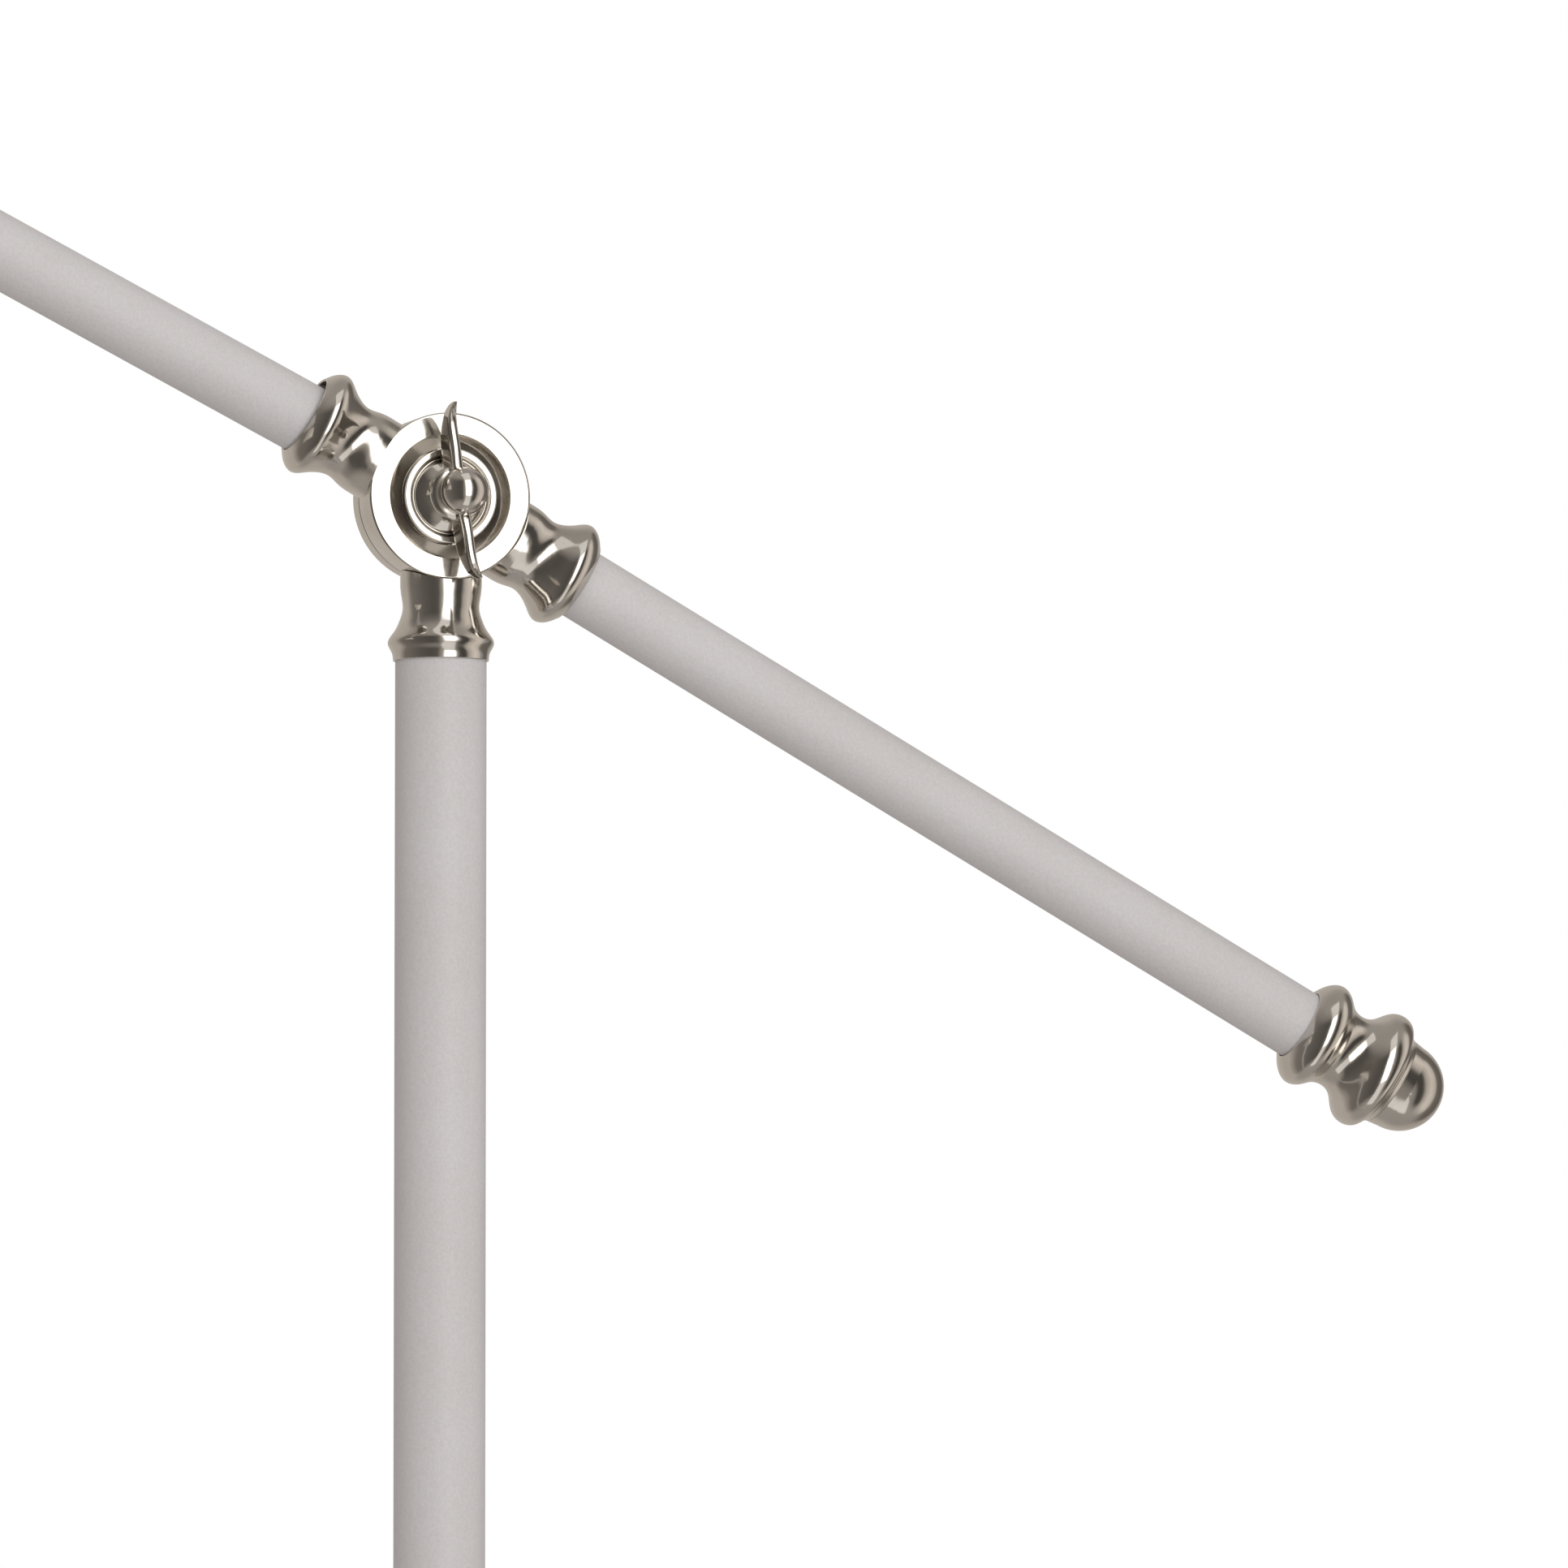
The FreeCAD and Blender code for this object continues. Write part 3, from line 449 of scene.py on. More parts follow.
def bump(tree, height, distance, strength=1.0, below=None):
    """Bump of that real height in metres, over the bump below."""
    node = tree.nodes.new("ShaderNodeBump")
    node.inputs["Strength"].default_value = strength
    node.inputs["Distance"].default_value = distance
    tree.links.new(height, node.inputs["Height"])
    if below is not None:
        tree.links.new(below, node.inputs["Normal"])
    return node.outputs["Normal"]


def make_nickel():
    """Polished nickel plate: warm tint, faint haze, polishing waves and hairline marks."""
    material, tree, bsdf = shader("polished_nickel")
    link = tree.links.new
    bsdf.inputs["Metallic"].default_value = 1.0
    tint = ramp(tree, noise(tree, 70, 5), [(0.3, (0.60, 0.565, 0.515)), (0.7, (0.70, 0.672, 0.63))])
    link(tint, bsdf.inputs["Base Color"])
    link(spread(tree, noise(tree, 260, 6, 0.65), 0.09, 0.15), bsdf.inputs["Roughness"])
    wave = bump(tree, noise(tree, 95, 2, 0.4), 0.0002, 0.6)
    ripple = bump(tree, noise(tree, 260, 2, 0.5), 0.00004, 0.6, wave)
    hair = bump(tree, noise(tree, 900, 3, 0.6, (1, 0.06, 1)), 0.000006, 0.5, ripple)
    link(hair, bsdf.inputs["Normal"])
    return material


def make_paint():
    """Powder coat: warm light grey, fine orange peel and a little mottling."""
    material, tree, bsdf = shader("grey_powder_coat")
    link = tree.links.new
    speck = noise(tree, 1100, 3, 0.6)
    cloud = noise(tree, 26, 4, 0.5)
    specks = ramp(tree, speck, [(0.32, (0.566, 0.552, 0.553)), (0.66, (0.621, 0.609, 0.615))])
    mottle = ramp(tree, cloud, [(0.3, (0.955, 0.95, 0.945)), (0.7, (1.0, 1.0, 1.0))])
    link(multiplied(tree, specks, mottle), bsdf.inputs["Base Color"])
    link(spread(tree, speck, 0.46, 0.58), bsdf.inputs["Roughness"])
    bsdf.inputs["Specular IOR Level"].default_value = 0.42
    peel = bump(tree, noise(tree, 620, 3, 0.5), 0.00012, 0.5)
    link(bump(tree, noise(tree, 2600, 2, 0.5), 0.00003, 0.5, peel), bsdf.inputs["Normal"])
    return material


def make_plain(name, dark, light, scale, roughness, height, metallic):
    """A simple mottled finish with its own grain."""
    material, tree, bsdf = shader(name)
    link = tree.links.new
    grain = noise(tree, scale, 5, 0.6)
    link(ramp(tree, grain, [(0.3, dark), (0.7, light)]), bsdf.inputs["Base Color"])
    link(spread(tree, grain, roughness * 0.85, min(1.0, roughness * 1.15)), bsdf.inputs["Roughness"])
    bsdf.inputs["Metallic"].default_value = metallic
    link(bump(tree, grain, height, 0.6), bsdf.inputs["Normal"])
    return material


def make_linen():
    """Plain-weave shade cloth: warp and weft, slubs and a little sheen."""
    material, tree, bsdf = shader("shade_linen")
    link = tree.links.new
    uv = tree.nodes.new("ShaderNodeUVMap")
    uv.uv_map = "weave"
    threads = []
    for axis in ("X", "Y"):
        wave = tree.nodes.new("ShaderNodeTexWave")
        wave.bands_direction = axis
        wave.inputs["Scale"].default_value = 0.31416
        wave.inputs["Distortion"].default_value = 1.4
        wave.inputs["Detail"].default_value = 2.0
        wave.inputs["Detail Scale"].default_value = 0.12
        link(uv.outputs["UV"], wave.inputs["Vector"])
        threads.append(wave.outputs["Fac"])
    weave = math_node(tree, "MAXIMUM", threads[0], threads[1])
    slub = noise(tree, 120, 3, 0.6, (1, 1, 0.25))
    cloth = ramp(tree, weave, [(0.1, (0.62, 0.585, 0.52)), (0.8, (0.86, 0.835, 0.78))])
    slubs = ramp(tree, slub, [(0.3, (0.9, 0.89, 0.87)), (0.7, (1.0, 1.0, 1.0))])
    link(multiplied(tree, cloth, slubs), bsdf.inputs["Base Color"])
    bsdf.inputs["Roughness"].default_value = 0.9
    bsdf.inputs["Specular IOR Level"].default_value = 0.2
    bsdf.inputs["Sheen Weight"].default_value = 0.25
    link(bump(tree, weave, 0.00018, 0.8), bsdf.inputs["Normal"])
    return material


# slot: name, dark colour, light colour, grain per metre, roughness, height of the grain in metres, metallic
PLAIN_FINISHES = {
    "steel": ("zinc_steel", (0.42, 0.42, 0.43), (0.56, 0.56, 0.57), 400, 0.32, 0.00002, 1.0),
    "brass": ("brass", (0.62, 0.45, 0.20), (0.76, 0.58, 0.30), 300, 0.24, 0.00002, 1.0),
    "cast_iron": ("cast_iron", (0.05, 0.05, 0.052), (0.10, 0.10, 0.105), 240, 0.7, 0.0003, 0.6),
    "base_felt": ("base_felt", (0.02, 0.02, 0.021), (0.05, 0.05, 0.052), 1500, 0.95, 0.0003, 0.0),
    "fibre": ("fibre", (0.20, 0.07, 0.035), (0.28, 0.11, 0.06), 900, 0.75, 0.00005, 0.0),
    "black_plastic": ("black_plastic", (0.012, 0.012, 0.012), (0.024, 0.024, 0.024), 800, 0.42, 0.00004, 0.0),
    "holder_plastic": ("holder_plastic", (0.014, 0.013, 0.012), (0.028, 0.026, 0.025), 500, 0.28, 0.00003,
                       0.0),
    "opal_glass": ("opal_glass", (0.80, 0.79, 0.77), (0.86, 0.85, 0.84), 40, 0.18, 0.00002, 0.0),
    "lead_sheath": ("lead_sheath", (0.55, 0.54, 0.52), (0.64, 0.63, 0.61), 500, 0.5, 0.00004, 0.0),
}
FINISH = {"nickel": make_nickel(), "grey_paint": make_paint(), "shade_linen": make_linen()}
for slot_name, values in PLAIN_FINISHES.items():
    FINISH[slot_name] = make_plain(*values)


# ---- arm pivot ----
WELL_R = 14.9            # well in the front disc for the knob's flange
LAND_R = 19.2            # inner edge of the flat land round the cove


def collar_run(root_r, neck_r, bead_r, mouth_r, socket_r, stop):
    """Outline of a stem from its root to the axis inside the socket."""
    return [(root_r, 27.0),
            [(root_r - 0.25, 29.4), (neck_r, 34.0), (neck_r + 0.9, 37.4), (bead_r - 1.9, 41.0),
             (bead_r, 44.6), (bead_r - 1.3, 47.6), (mouth_r, MOUTH - 0.2)],
            [(mouth_r - 0.1, MOUTH - 0.05), (mouth_r - 0.3, MOUTH)],
            (socket_r + 0.3, MOUTH), [(socket_r + 0.1, MOUTH - 0.1), (socket_r, MOUTH - 0.3)],
            (socket_r, stop), (0, stop)]


def make_post_knuckle():
    """Back disc, and the stem and collar that hold the post."""
    bm = bmesh.new()
    back = -FACE
    lathe_mesh(bm, [(0, PARTING - 1.15), (12.2, PARTING - 1.15), (12.2, PARTING - PART_GAP),
                    (DISC_R - 0.3, PARTING - PART_GAP),
                    [(DISC_R - 0.09, PARTING - 0.24), (DISC_R, PARTING - 0.45)], (DISC_R, back + 1.6),
                    [(DISC_R - 0.47, back + 0.47), (DISC_R - 1.6, back)], (0, back)],
               PIVOT, FRONT, 192)
    stem_shell(bm, collar_run(12.5, 11.75, 16.3, 14.7, POST_R + 0.05, TUBE_STOP + 1), PIVOT, DOWN,
               DISC_R - ROOT, DISC_R + SADDLE, -PARTING, -1)
    finished("post_knuckle_cast", bm, "post", "post_knuckle", "nickel")


def make_arm_knuckle():
    """Front disc with its well, cove and flat land, and the arm's two stems and collars."""
    bm = bmesh.new()
    floor = FACE - 4.2
    lathe_mesh(bm, [(0, floor), (WELL_R, floor), (WELL_R, FACE - 2.7),
                    [(17.1, FACE - 1.56), (LAND_R, FACE - 0.05)], (LAND_R + 0.05, FACE),
                    (LAND_R + 0.2, FACE), (DISC_R - RIM - 0.1, FACE), (DISC_R - RIM, FACE),
                    [(DISC_R - 0.29 * RIM, FACE - 0.29 * RIM), (DISC_R, FACE - RIM)],
                    (DISC_R, PARTING + 0.45),
                    [(DISC_R - 0.09, PARTING + 0.24), (DISC_R - 0.3, PARTING + PART_GAP)],
                    (0, PARTING + PART_GAP)],
               PIVOT, FRONT, 192)
    for direction, socket in ((TAIL_DIR, ARM_R + 0.15), (STEM_DIR, ARM_R + 1.2)):
        stem_shell(bm, collar_run(13.1, 12.0, 17.0, 13.1, socket, TUBE_STOP), PIVOT, direction,
                   DISC_R - ROOT, DISC_R + SADDLE, -PARTING, 1)
    finished("arm_knuckle_cast", bm, "arm", "arm_knuckle", "nickel")


BALL_R = 7.4
BALL_AT = 15.0           # centre of the ball, in front of the disc's face
WING_TURN = 8.8          # degrees that the wings lean from upright
WING_POWER = 5.0         # of the wings' super-elliptic section
# along a wing: back and front edge as (distance from the axis, height over the disc's face), thickness
WING_STATIONS = [
    ((2.0, 2.2), (2.0, 12.4), 4.2),
    ((9.0, 1.6), (9.0, 13.6), 3.6),
    ((15.0, 1.6), (14.2, 14.2), 3.3),
    ((19.2, 3.2), (18.2, 14.1), 3.1),
    ((22.2, 6.0), (20.8, 14.3), 2.9),
    ((24.4, 8.8), (23.0, 15.1), 2.6),
    ((25.9, 11.8), (24.8, 16.6), 2.1),
    ((26.9, 15.0), (26.2, 18.4), 1.5),
    ((27.3, 18.2), (27.1, 20.0), 0.8),
]


def squarish(turn, power):
    """Point of a unit super-ellipse."""
    c = math.cos(turn)
    s = math.sin(turn)
    return math.copysign(abs(c) ** (2 / power), c), math.copysign(abs(s) ** (2 / power), s)


def wing_shell(bm, outward, sideways, points=40):
    """One horn-shaped wing: a loft of rounded sections that leans out along outward."""
    rows = [(*back, *front, thick) for back, front, thick in WING_STATIONS]
    rings = []
    for row in [rows[0]] + spline_run(rows, 0.9):
        low = outward * row[0] + FRONT * row[1]
        high = outward * row[2] + FRONT * row[3]
        centre = PIVOT + (FRONT * FACE + (low + high) * 0.5) * MM
        half = (high - low) * (0.5 * MM)
        ring = []
        for i in range(points):
            along, across = squarish(2 * math.pi * i / points, WING_POWER)
            ring.append(bm.verts.new(centre + half * along + sideways * (row[4] * 0.5 * MM * across)))
        rings.append(ring)
    for low, high in zip(rings, rings[1:]):
        bridge(bm, low, high)
    bm.faces.new(list(reversed(rings[0])))
    bm.faces.new(rings[-1])


def make_wing_knob():
    """Knob: flange, groove, flared boss and ball in one lathe outline, and two wings."""
    ball_neck = 5.0
    bottom = -3.2
    bm = bmesh.new()
    lathe_mesh(bm, [(0, bottom), (14.2, bottom), [(14.48, bottom + 0.12), (14.6, bottom + 0.4)], (14.6, 0.5),
                    [(14.5, 0.7), (14.25, 0.8)], (13.0, 0.8), [(12.75, 0.72), (12.6, 0.5)],
                    (12.1, -0.9), [(11.6, -0.4), (11.1, -0.9)],
                    [(9.4, 0.2), (7.6, 1.9), (6.5, 4.4), (6.9, 6.1), (8.1, 6.9), (8.5, 7.6), (8.0, 8.3),
                     (6.6, 8.9), ball_join(BALL_R, BALL_AT, ball_neck, -1)],
                    [(BALL_R, BALL_AT), (0, BALL_AT + BALL_R)]],
               PIVOT + FRONT * (FACE * MM), FRONT, 128)
    lean = math.radians(WING_TURN)
    for side in (1, -1):
        outward = Vector((-math.sin(lean), 0, math.cos(lean))) * side
        wing_shell(bm, outward, outward.cross(FRONT))
    finished("wing_knob_cast", bm, "knob", "wing_knob", "nickel")


def make_pivot_cap():
    turned("pivot_cap_turned", [(0, 0.3), (9.4, 0.3), (9.4, 0), (12.6, 0), [(12.9, -0.7), (12.4, -1.4)],
                                ball_join(17.0, 12.6, 11.0, -1), ball_end(17.0, 12.6, 11.0, -1)],
           PIVOT - FRONT * (FACE * MM), FRONT, "post", "pivot_cap", "nickel")


# ---- tubes ----
def make_tube(name, node, body, radius, start, end, origin, direction):
    """Painted tube with broken edges."""
    edge = 0.2
    bore = radius - WALL
    turned(name, [(bore, start), (radius - edge, start), (radius, start + edge), (radius, end - edge),
                  (radius - edge, end), (bore, end)],
           origin, direction, body, node, "grey_paint")


FINIAL_START = 319.0     # distances from the pivot along the tail
FINIAL_JOIN = 353.3
TAIL_TIP = 371.0
DOME_R = 14.0
HEAD_REACH = 740.0       # arm pivot to head pivot
HEAD_STOP = 36.5         # head pivot to the end of the head tube
COUPLING_Z = 680.0       # heights over the floor
FOOT_SOCKET = 58.0
FOOT_TOP = 92.0
GROUND = Vector((0, 0, 0))


def make_tubes():
    post_top = PIVOT.z / MM - TUBE_STOP - 1
    make_tube("upper_post", "post_upper_tube", "post", POST_R, COUPLING_Z + 0.3, post_top, GROUND, UP)
    make_tube("lower_post", "post_lower_tube", "post", POST_R, FOOT_SOCKET, COUPLING_Z, GROUND, UP)
    make_tube("tail_arm", "tail_tube", "arm", ARM_R, TUBE_STOP + 0.3, FINIAL_START + 6, PIVOT, TAIL_DIR)
    make_tube("head_arm", "head_tube", "arm", ARM_R, TUBE_STOP - DROOP_AT + 0.5,
              HEAD_REACH - DROOP_AT - HEAD_STOP, BEND, HEAD_DIR)


def make_finial():
    """The two beads and the neck between them, and the domed end."""
    mouth = ARM_R + 0.15
    turned("finial_collar_turned",
           [(0, FINIAL_START + 6.3), (mouth, FINIAL_START + 6.3), (mouth, FINIAL_START + 0.3),
            [(mouth + 0.1, FINIAL_START + 0.1), (mouth + 0.3, FINIAL_START)], (12.0, FINIAL_START),
            [(13.6, 320.0), (15.8, 321.9), (17.3, 325.0), (16.3, 328.1), (13.6, 331.2), (12.4, 335.0),
             (13.2, 338.4), (16.2, 341.6), (18.5, 344.0), (19.25, 346.9), (18.2, 349.9), (15.4, 352.0),
             (14.6, FINIAL_JOIN)], (0, FINIAL_JOIN)],
           PIVOT, TAIL_DIR, "arm", "finial_collar", "nickel", segments=160)
    turned("finial_dome_turned",
           [(0, FINIAL_JOIN), (14.2, FINIAL_JOIN), (14.5, FINIAL_JOIN + 0.3),
            (DOME_R, TAIL_TIP - DOME_R + 0.4), (DOME_R, TAIL_TIP - DOME_R),
            ball_end(DOME_R, TAIL_TIP - DOME_R, DOME_R)],
           PIVOT, TAIL_DIR, "arm", "finial_dome", "nickel", segments=160)


# ---- post fittings and base ----
BASE_R = 150.0
BASE_TOP = 36.0          # height of the cover
BOSS_R = 40.0
PAD_TOP = 2.5            # height of the felt pad


def make_foot():
    """Bell-shaped foot of the post, and the coupling half-way up."""
    inner = POST_R + 0.05
    turned("post_foot_turned",
           [(inner, BASE_TOP), (30.0, BASE_TOP), [(31.4, BASE_TOP + 1.6), (30.4, BASE_TOP + 3.4)],
            (28.6, BASE_TOP + 4.0),
            [(24.0, 45.0), (19.6, 52.0), (17.4, 61.0), (16.7, 70.0), (17.0, 77.0), (19.2, 81.6),
             (20.6, 85.0), (19.4, 88.4), (17.0, 90.6), (15.6, FOOT_TOP)], (inner, FOOT_TOP)],
           GROUND, UP, "post", "post_foot", "nickel", segments=160)
    turned("post_coupling_turned",
           [(inner, COUPLING_Z - 11), (14.9, COUPLING_Z - 11),
            [(16.9, COUPLING_Z - 8.4), (14.9, COUPLING_Z - 5.6)],
            [(15.5, COUPLING_Z), (14.9, COUPLING_Z + 5.6)],
            [(16.9, COUPLING_Z + 8.4), (14.9, COUPLING_Z + 11)], (inner, COUPLING_Z + 11)],
           GROUND, UP, "post", "post_coupling", "nickel", segments=160)


def make_base():
    """Spun cover with a raised boss and a stepped rim, and the felt pad under it."""
    low = PAD_TOP
    cover = [(6.8, BASE_TOP - 1.5), (6.8, BASE_TOP), (BOSS_R - 7.0, BASE_TOP),
             [(BOSS_R - 3.0, 35.2), (BOSS_R + 3.0, 31.6), (BOSS_R + 12.0, 26.4), (BOSS_R + 28.0, 23.2),
              (BASE_R - 45.0, 21.0), (BASE_R - 17.0, 19.3)],
             [(BASE_R - 14.2, 18.2), (BASE_R - 12.0, 16.9)], (BASE_R - 4.0, 16.5),
             [(BASE_R - 0.9, 15.2), (BASE_R, 12.0)], (BASE_R, low), (BASE_R - 1.5, low),
             (BASE_R - 1.5, 12.0), (BASE_R - 5.0, 15.0), (BASE_R - 60, 20.0)]
    turned("base_cover_spun", cover, GROUND, UP, "post", "base_cover", "grey_paint", segments=256)
    pad = BASE_R - 4
    turned("base_pad_disc", [(0, 0), (pad - 0.6, 0), (pad, 0.6), (pad, low - 0.1), (0, low - 0.1)],
           GROUND, UP, "post", "base_pad", "base_felt", segments=256)


# ---- lamp head ----
ROD_R = 5.98
ROD_BORE = 4.2
ROD_START = 30.3         # distances below the head pivot
ROD_END = 80.0
HOLDER_TOP = 86.0
HOLDER_MOUTH = 152.0
RING_AT = 116.0
CAP_TOP = 124.0
CAP_END = 153.5
GLOBE_AT = 205.0
CUP_R = 20.0
HOLDER_R = 17.5
GLOBE_R = 30.0
SHADE_TOP = 102.0
SHADE_HEIGHT = 190.0
SHADE_TOP_R = 80.0
SHADE_BOTTOM_R = 150.0
SHADE_WALL = 1.2
WIRE_R = 1.5
WIRE_FACETS = 16
HOOP_INSET = 4.0         # from each rim of the shade to the hoop's centre
HUB_R = 29.0
HUB_THICK = 1.5
TAPE = 8.0               # height of the tape round each rim
PROUD = 0.45             # it stands out from the cloth by this much
TAPE_STEP = 0.6          # and fades into it over this height


def make_head_joint():
    """The head pivot's front disc on the arm and back disc on the hanger, each with its stem."""
    bm = bmesh.new()
    inward = HEAD_DIR * -1
    lathe_mesh(bm, [(0, PART_GAP), (HEAD_DISC_R - 0.2, PART_GAP), (HEAD_DISC_R, PART_GAP + 0.2),
                    (HEAD_DISC_R, HEAD_FACE - 1.2),
                    [(HEAD_DISC_R - 0.35, HEAD_FACE - 0.35), (HEAD_DISC_R - 1.2, HEAD_FACE)], (0, HEAD_FACE)],
               HEAD_PIVOT, FRONT, 160)
    socket = ARM_R + 0.1
    stem_shell(bm, [(9.0, 21.5), [(8.8, 23.0), (8.5, 26.6), (9.4, 30.0), (13.0, 34.0), (14.6, 37.4),
                                  (13.4, 40.8), (12.2, 42.9)], (12.1, 43.0), (socket + 0.2, 43.0),
                    (socket, 42.8), (socket, HEAD_STOP), (0, HEAD_STOP)],
               HEAD_PIVOT, inward, HEAD_DISC_R - ROOT, HEAD_DISC_R + SADDLE, 0.0, 1)
    finished("head_knuckle_cast", bm, "arm", "head_knuckle", "nickel")
    bm = bmesh.new()
    lathe_mesh(bm, [(0, -HEAD_FACE), (HEAD_DISC_R - 1.2, -HEAD_FACE),
                    [(HEAD_DISC_R - 0.35, -HEAD_FACE + 0.35), (HEAD_DISC_R, -HEAD_FACE + 1.2)],
                    (HEAD_DISC_R, -PART_GAP - 0.2), (HEAD_DISC_R - 0.2, -PART_GAP), (0, -PART_GAP)],
               HEAD_PIVOT, FRONT, 160)
    stem_shell(bm, [(7.6, 21.5), [(7.45, 23.0), (7.2, 26.0), (8.0, 29.0), (10.0, 31.6), (10.8, 34.4),
                                  (10.0, 37.2), (8.2, 39.0)],
                    (6.2, 39.0), (6.0, 38.8), (6.0, 30.0), (0, 30.0)],
               HEAD_PIVOT, DOWN, HEAD_DISC_R - ROOT, HEAD_DISC_R + SADDLE, 0.0, -1)
    finished("head_hanger_cast", bm, "head", "head_hanger", "nickel")


def make_hanger():
    """Rod under the head pivot, and the spun cup over the lampholder."""
    turned("hanger_rod_tube",
           [(ROD_BORE, ROD_START), (ROD_R, ROD_START), (ROD_R, ROD_END), (ROD_BORE, ROD_END)],
           HEAD_PIVOT, DOWN, "head", "hanger_rod", "nickel", segments=96)
    turned("socket_cup_spun",
           [(ROD_R, 70.0), (8.6, 70.0), [(9.4, 71.2), (9.0, 72.6)],
            [(9.6, 74.6), (13.4, 77.6), (17.8, 82.0), (19.6, 88.0), (CUP_R, 96.0), (CUP_R, 106.0)],
            [(CUP_R + 0.9, 107.2), (CUP_R, 108.4)], (CUP_R - 1.2, 108.4), (CUP_R - 1.2, 96.0),
            [(18.2, 88.4), (16.6, 83.4), (12.6, 79.4), (8.6, 77.0)], (ROD_R, 76.6)],
           HEAD_PIVOT, DOWN, "head", "socket_cup", "nickel")


def make_lampholder():
    """Moulded holder with a threaded lower half, and the ring nut that holds the shade on it."""
    skirt = HOLDER_R + 0.9
    flange = HOLDER_R + 2.0
    body = [(6.0, HOLDER_TOP), (14.5, HOLDER_TOP), (HOLDER_R, HOLDER_TOP + 6.0), (skirt, HOLDER_TOP + 7.0),
            (skirt, RING_AT - 2.5), (flange, RING_AT - 2.0), (flange, RING_AT), (HOLDER_R, RING_AT)]
    for turn in range(6):
        at = RING_AT + 10.0 + 3.0 * turn
        body += [(HOLDER_R, at), [(HOLDER_R - 0.6, at + 1.0), (HOLDER_R, at + 2.0)]]
    body += [(HOLDER_R, HOLDER_MOUTH - 1), (HOLDER_R - 1, HOLDER_MOUTH), (15.1, HOLDER_MOUTH),
             (15.1, 122.0), (6.0, 122.0)]
    turned("lampholder_moulded", body, HEAD_PIVOT, DOWN, "head", "lampholder_body", "holder_plastic")
    ring = RING_AT
    turned("shade_ring_moulded",
           [(HOLDER_R + 0.05, ring + 1.5), (25.7, ring + 1.5), [(26.0, ring + 2.0), (25.7, ring + 2.6)],
            (HOLDER_R + 3.6, ring + 3.3), (HOLDER_R + 3.2, ring + 3.8), (HOLDER_R + 3.2, ring + 8.6),
            (HOLDER_R + 2.8, ring + 9.0), (HOLDER_R + 0.05, ring + 9.0)],
           HEAD_PIVOT, DOWN, "head", "shade_ring_nut", "holder_plastic")


def make_bulb():
    """Screw cap with five rolled turns, and an opal globe on a tapered neck."""
    cap = [(0, CAP_TOP), (4.5, CAP_TOP), (5.0, CAP_TOP + 2.0), (11.5, CAP_TOP + 4.5), (12.6, CAP_TOP + 6.0)]
    for turn in range(5):
        at = CAP_TOP + 7.0 + 3.6 * turn
        cap += [(12.4, at), [(13.0, at + 1.6), (12.4, at + 3.2)]]
    cap += [(13.0, CAP_END - 2.5), (13.4, CAP_END), (0, CAP_END)]
    turned("bulb_cap_rolled", cap, HEAD_PIVOT, DOWN, "head", "bulb_cap", "brass", segments=96)
    neck = 13.6
    wide = GLOBE_R - 1.5
    turned("bulb_globe_blown",
           [(0, CAP_END), (neck, CAP_END),
            [(neck + 1.4, 162.0), (neck + 5.0, 173.0), (neck + 11.2, 184.6),
             ball_join(GLOBE_R, GLOBE_AT, wide, -1)],
            [(GLOBE_R, GLOBE_AT), ball_join(GLOBE_R, GLOBE_AT, wide)], ball_end(GLOBE_R, GLOBE_AT, wide)],
           HEAD_PIVOT, DOWN, "head", "bulb_globe", "opal_glass")


def shade_radius(below):
    """Outside radius of the shade at a distance below the head pivot."""
    return SHADE_TOP_R + (SHADE_BOTTOM_R - SHADE_TOP_R) * (below - SHADE_TOP) / SHADE_HEIGHT


def hoop_radius(below):
    """Radius of a wire hoop that lies inside the shade's wall at that distance."""
    return shade_radius(below) - SHADE_WALL - WIRE_R - 0.4


def hoop(bm, radius, below, segments=192):
    """Wire hoop round the head's axis."""
    rings = []
    for i in range(segments):
        turn = 2 * math.pi * i / segments
        spoke = Vector((math.cos(turn), math.sin(turn), 0))
        ring = []
        for j in range(WIRE_FACETS):
            roll = 2 * math.pi * j / WIRE_FACETS
            offset = spoke * (radius + WIRE_R * math.cos(roll)) + UP * (WIRE_R * math.sin(roll) - below)
            ring.append(bm.verts.new(HEAD_PIVOT + offset * MM))
        rings.append(ring)
    for low, high in zip(rings, rings[1:] + rings[:1]):
        bridge(bm, low, high)


def make_spider():
    """Hub on the lampholder, three spokes and the top hoop."""
    top_at = SHADE_TOP + HOOP_INSET
    hoop_r = hoop_radius(top_at)
    bm = bmesh.new()
    lathe_mesh(bm, [(HOLDER_R + 0.4, RING_AT), (HUB_R, RING_AT), (HUB_R, RING_AT + HUB_THICK),
                    (HOLDER_R + 0.4, RING_AT + HUB_THICK)],
               HEAD_PIVOT, DOWN, 96)
    hoop(bm, hoop_r, top_at)
    for i in range(3):
        turn = math.radians(90 + 120 * i)
        spoke = Vector((math.cos(turn), math.sin(turn), 0))
        inner = HEAD_PIVOT + (spoke * (HUB_R - 1.3) + DOWN * (RING_AT + HUB_THICK / 2)) * MM
        outer = HEAD_PIVOT + (spoke * hoop_r + DOWN * top_at) * MM
        run = outer - inner
        length = run.length / MM
        lathe_mesh(bm, [(0, 0), (WIRE_R, 0), (WIRE_R, length), (0, length)], inner, run.normalized(),
                   WIRE_FACETS, False)
    finished("shade_spider_wire", bm, "head", "shade_spider", "steel")


def make_bottom_hoop():
    low_at = SHADE_TOP + SHADE_HEIGHT - HOOP_INSET
    bm = bmesh.new()
    hoop(bm, hoop_radius(low_at), low_at)
    finished("shade_hoop_wire", bm, "head", "shade_bottom_ring", "steel")


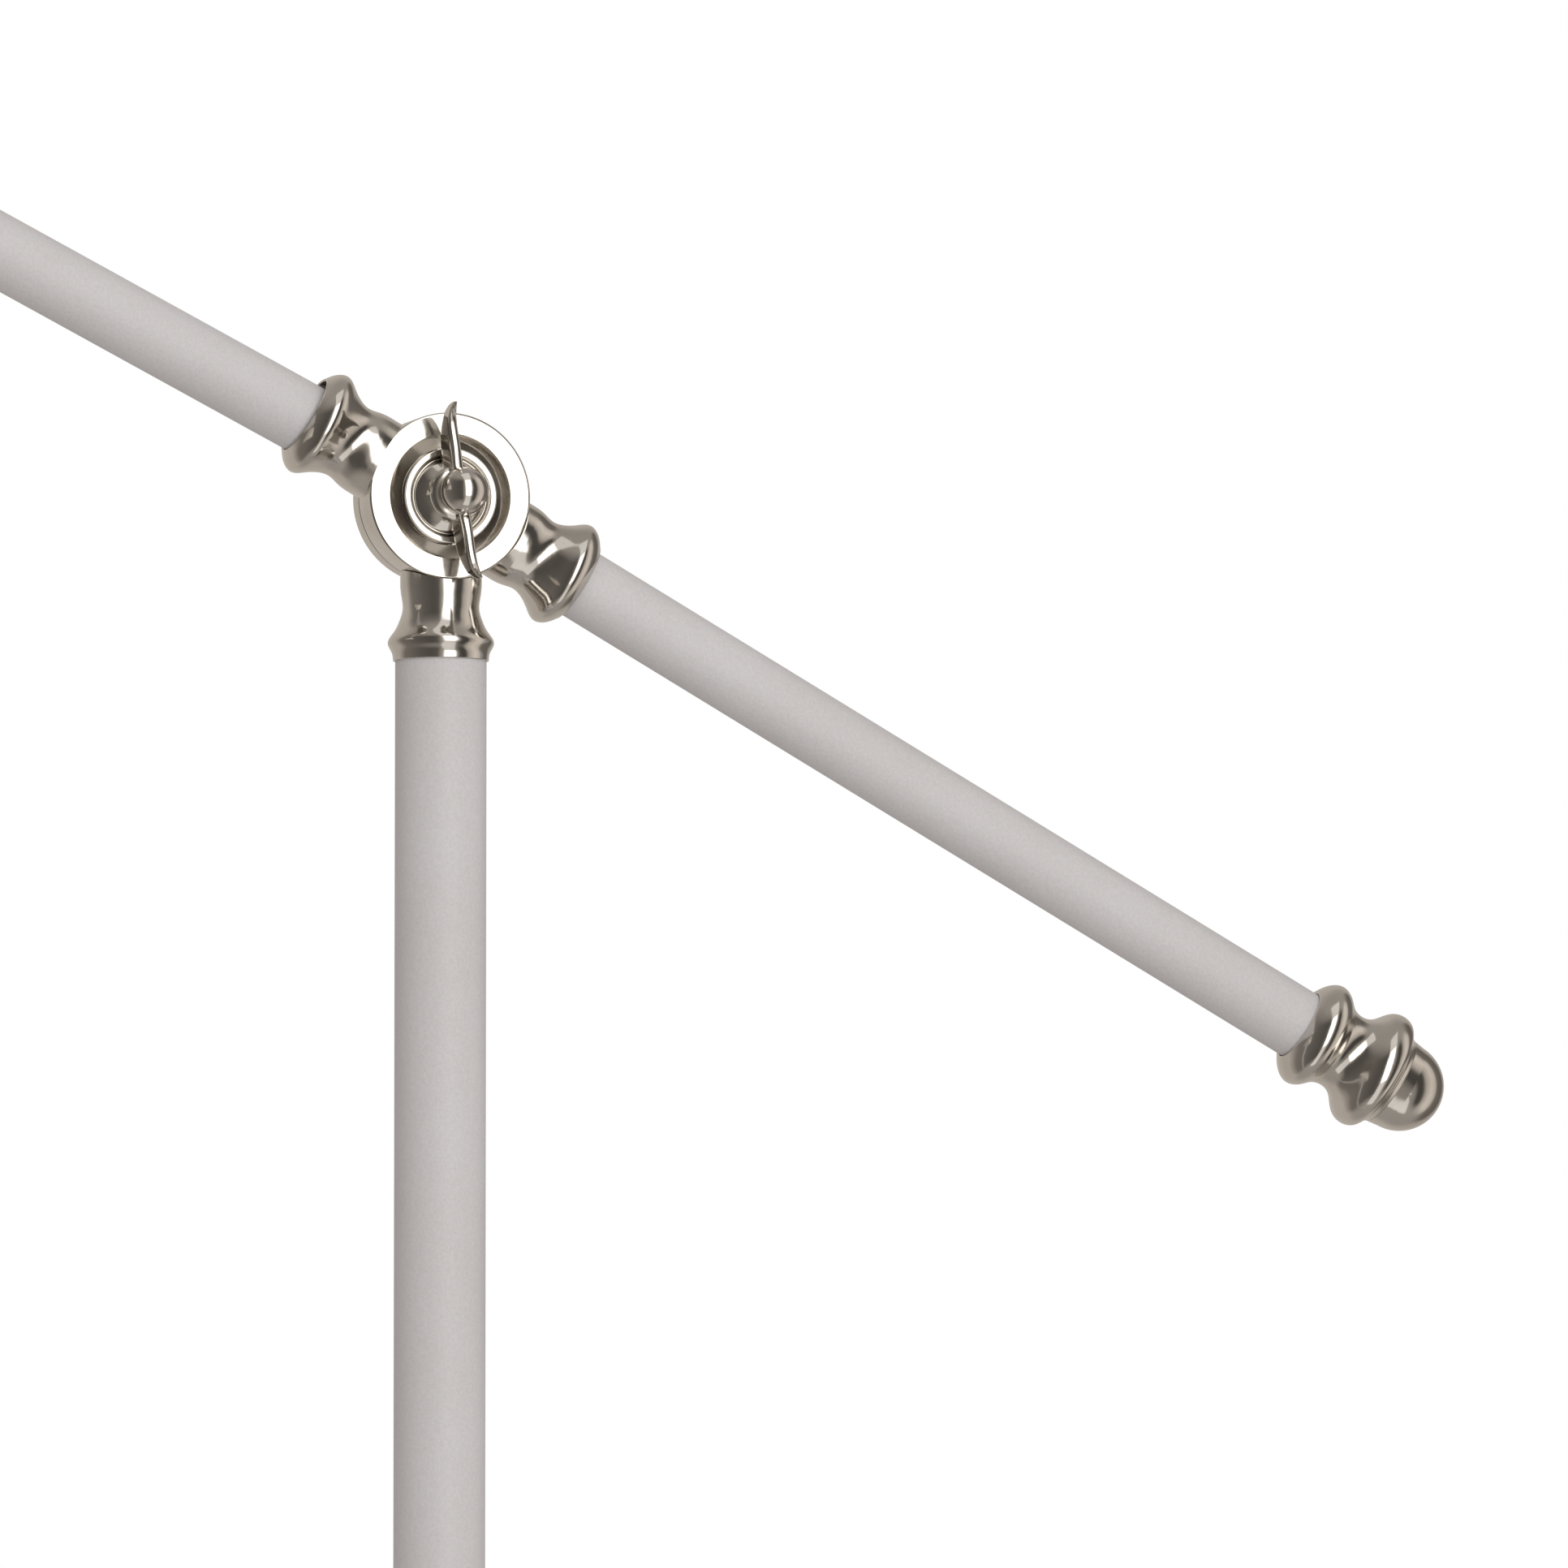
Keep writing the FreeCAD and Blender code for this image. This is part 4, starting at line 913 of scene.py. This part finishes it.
def shade_outline():
    """The shade's wall in section, with the tape at both rims standing a little proud."""
    bottom = SHADE_TOP + SHADE_HEIGHT
    first = SHADE_TOP + TAPE
    last = bottom - TAPE
    bands = 24
    outline = [(SHADE_TOP_R - SHADE_WALL, SHADE_TOP + 0.4),
               [(SHADE_TOP_R - 0.5, SHADE_TOP - 0.35), (SHADE_TOP_R + PROUD, SHADE_TOP + 0.6)],
               (shade_radius(first) + PROUD, first),
               (shade_radius(first), first + TAPE_STEP)]
    for i in range(1, bands):
        below = SHADE_TOP + TAPE + TAPE_STEP + (SHADE_HEIGHT - 2 * (TAPE + TAPE_STEP)) * i / bands
        outline.append((shade_radius(below), below))
    outline += [(shade_radius(last - TAPE_STEP), last - TAPE_STEP),
                (shade_radius(last) + PROUD, last),
                (SHADE_BOTTOM_R + PROUD - 0.3, bottom - 0.6),
                [(SHADE_BOTTOM_R - 0.6, bottom + 0.35), (SHADE_BOTTOM_R - SHADE_WALL, bottom - 0.4)]]
    return outline


def lay_weave(mesh):
    """UV map in millimetres for the threads: round the shade at its mean radius, and up it."""
    weave = mesh.uv_layers.new(name="weave")
    mean_r = (SHADE_TOP_R + SHADE_BOTTOM_R) / 2
    for polygon in mesh.polygons:
        places = []
        for index in polygon.loop_indices:
            places.append(mesh.vertices[mesh.loops[index].vertex_index].co - HEAD_PIVOT)
        turns = [math.atan2(place.y, place.x) for place in places]
        wrap = max(turns) - min(turns) > math.pi
        for index, place, turn in zip(polygon.loop_indices, places, turns):
            if wrap and turn < 0:
                turn += 2 * math.pi
            weave.data[index].uv = (turn * mean_r, place.z / MM)


def make_shade():
    """Tapered cloth shade, with a weave map laid round it."""
    bm = bmesh.new()
    lathe_mesh(bm, shade_outline(), HEAD_PIVOT, DOWN, 288)
    shade = finished("shade_cloth", bm, "head", "shade", "shade_linen")
    lay_weave(shade.data)


# ---- what the CAD model shows as it is ----
def dress_cad():
    """Give every CAD node its finish, by its material slot; the finer pieces replace some nodes."""
    slots = {entry["node"]: entry["material_slot"] for entry in frame["record"]["subparts"]}
    for node, thing in frame["nodes"].items():
        thing.data.materials.clear()
        thing.data.materials.append(FINISH[slots[node]])


# ---- floor ----
def make_floor():
    """Pale floor for the camera: nothing reflects it, and it neither bounces nor blocks light."""
    material = make_plain("pale_floor", (0.94, 0.935, 0.925), (0.95, 0.945, 0.937), 6, 0.8, 0.0001, 0.0)
    bpy.ops.mesh.primitive_plane_add(size=60, location=GROUND)
    floor = bpy.context.object
    floor.name = "floor"
    floor.data.materials.append(material)
    floor.visible_glossy = False
    floor.visible_diffuse = False
    floor.visible_shadow = False
    return floor


def light_floor(floor):
    """A broad sun lights the floor only, and the softboxes light the lamp only."""
    sun_data = bpy.data.lights.new("floor_light", "SUN")
    sun_data.energy = 1.4
    sun_data.angle = math.radians(50)
    sun = bpy.data.objects.new("floor_light", sun_data)
    sun.rotation_euler = (math.radians(18), math.radians(14), 0)
    bpy.context.scene.collection.objects.link(sun)
    for light in [thing for thing in bpy.data.objects if thing.type == "LIGHT"]:
        lit = bpy.data.collections.new("lit_by_" + light.name)
        lit.objects.link(floor)
        lit.collection_objects[0].light_linking.link_state = "INCLUDE" if light == sun else "EXCLUDE"
        light.light_linking.receiver_collection = lit


make_camera()
make_light()
dress_cad()
make_post_knuckle()
make_arm_knuckle()
make_wing_knob()
make_pivot_cap()
make_tubes()
make_finial()
make_foot()
make_base()
make_head_joint()
make_hanger()
make_lampholder()
make_bulb()
make_spider()
make_bottom_hoop()
make_shade()
light_floor(make_floor())
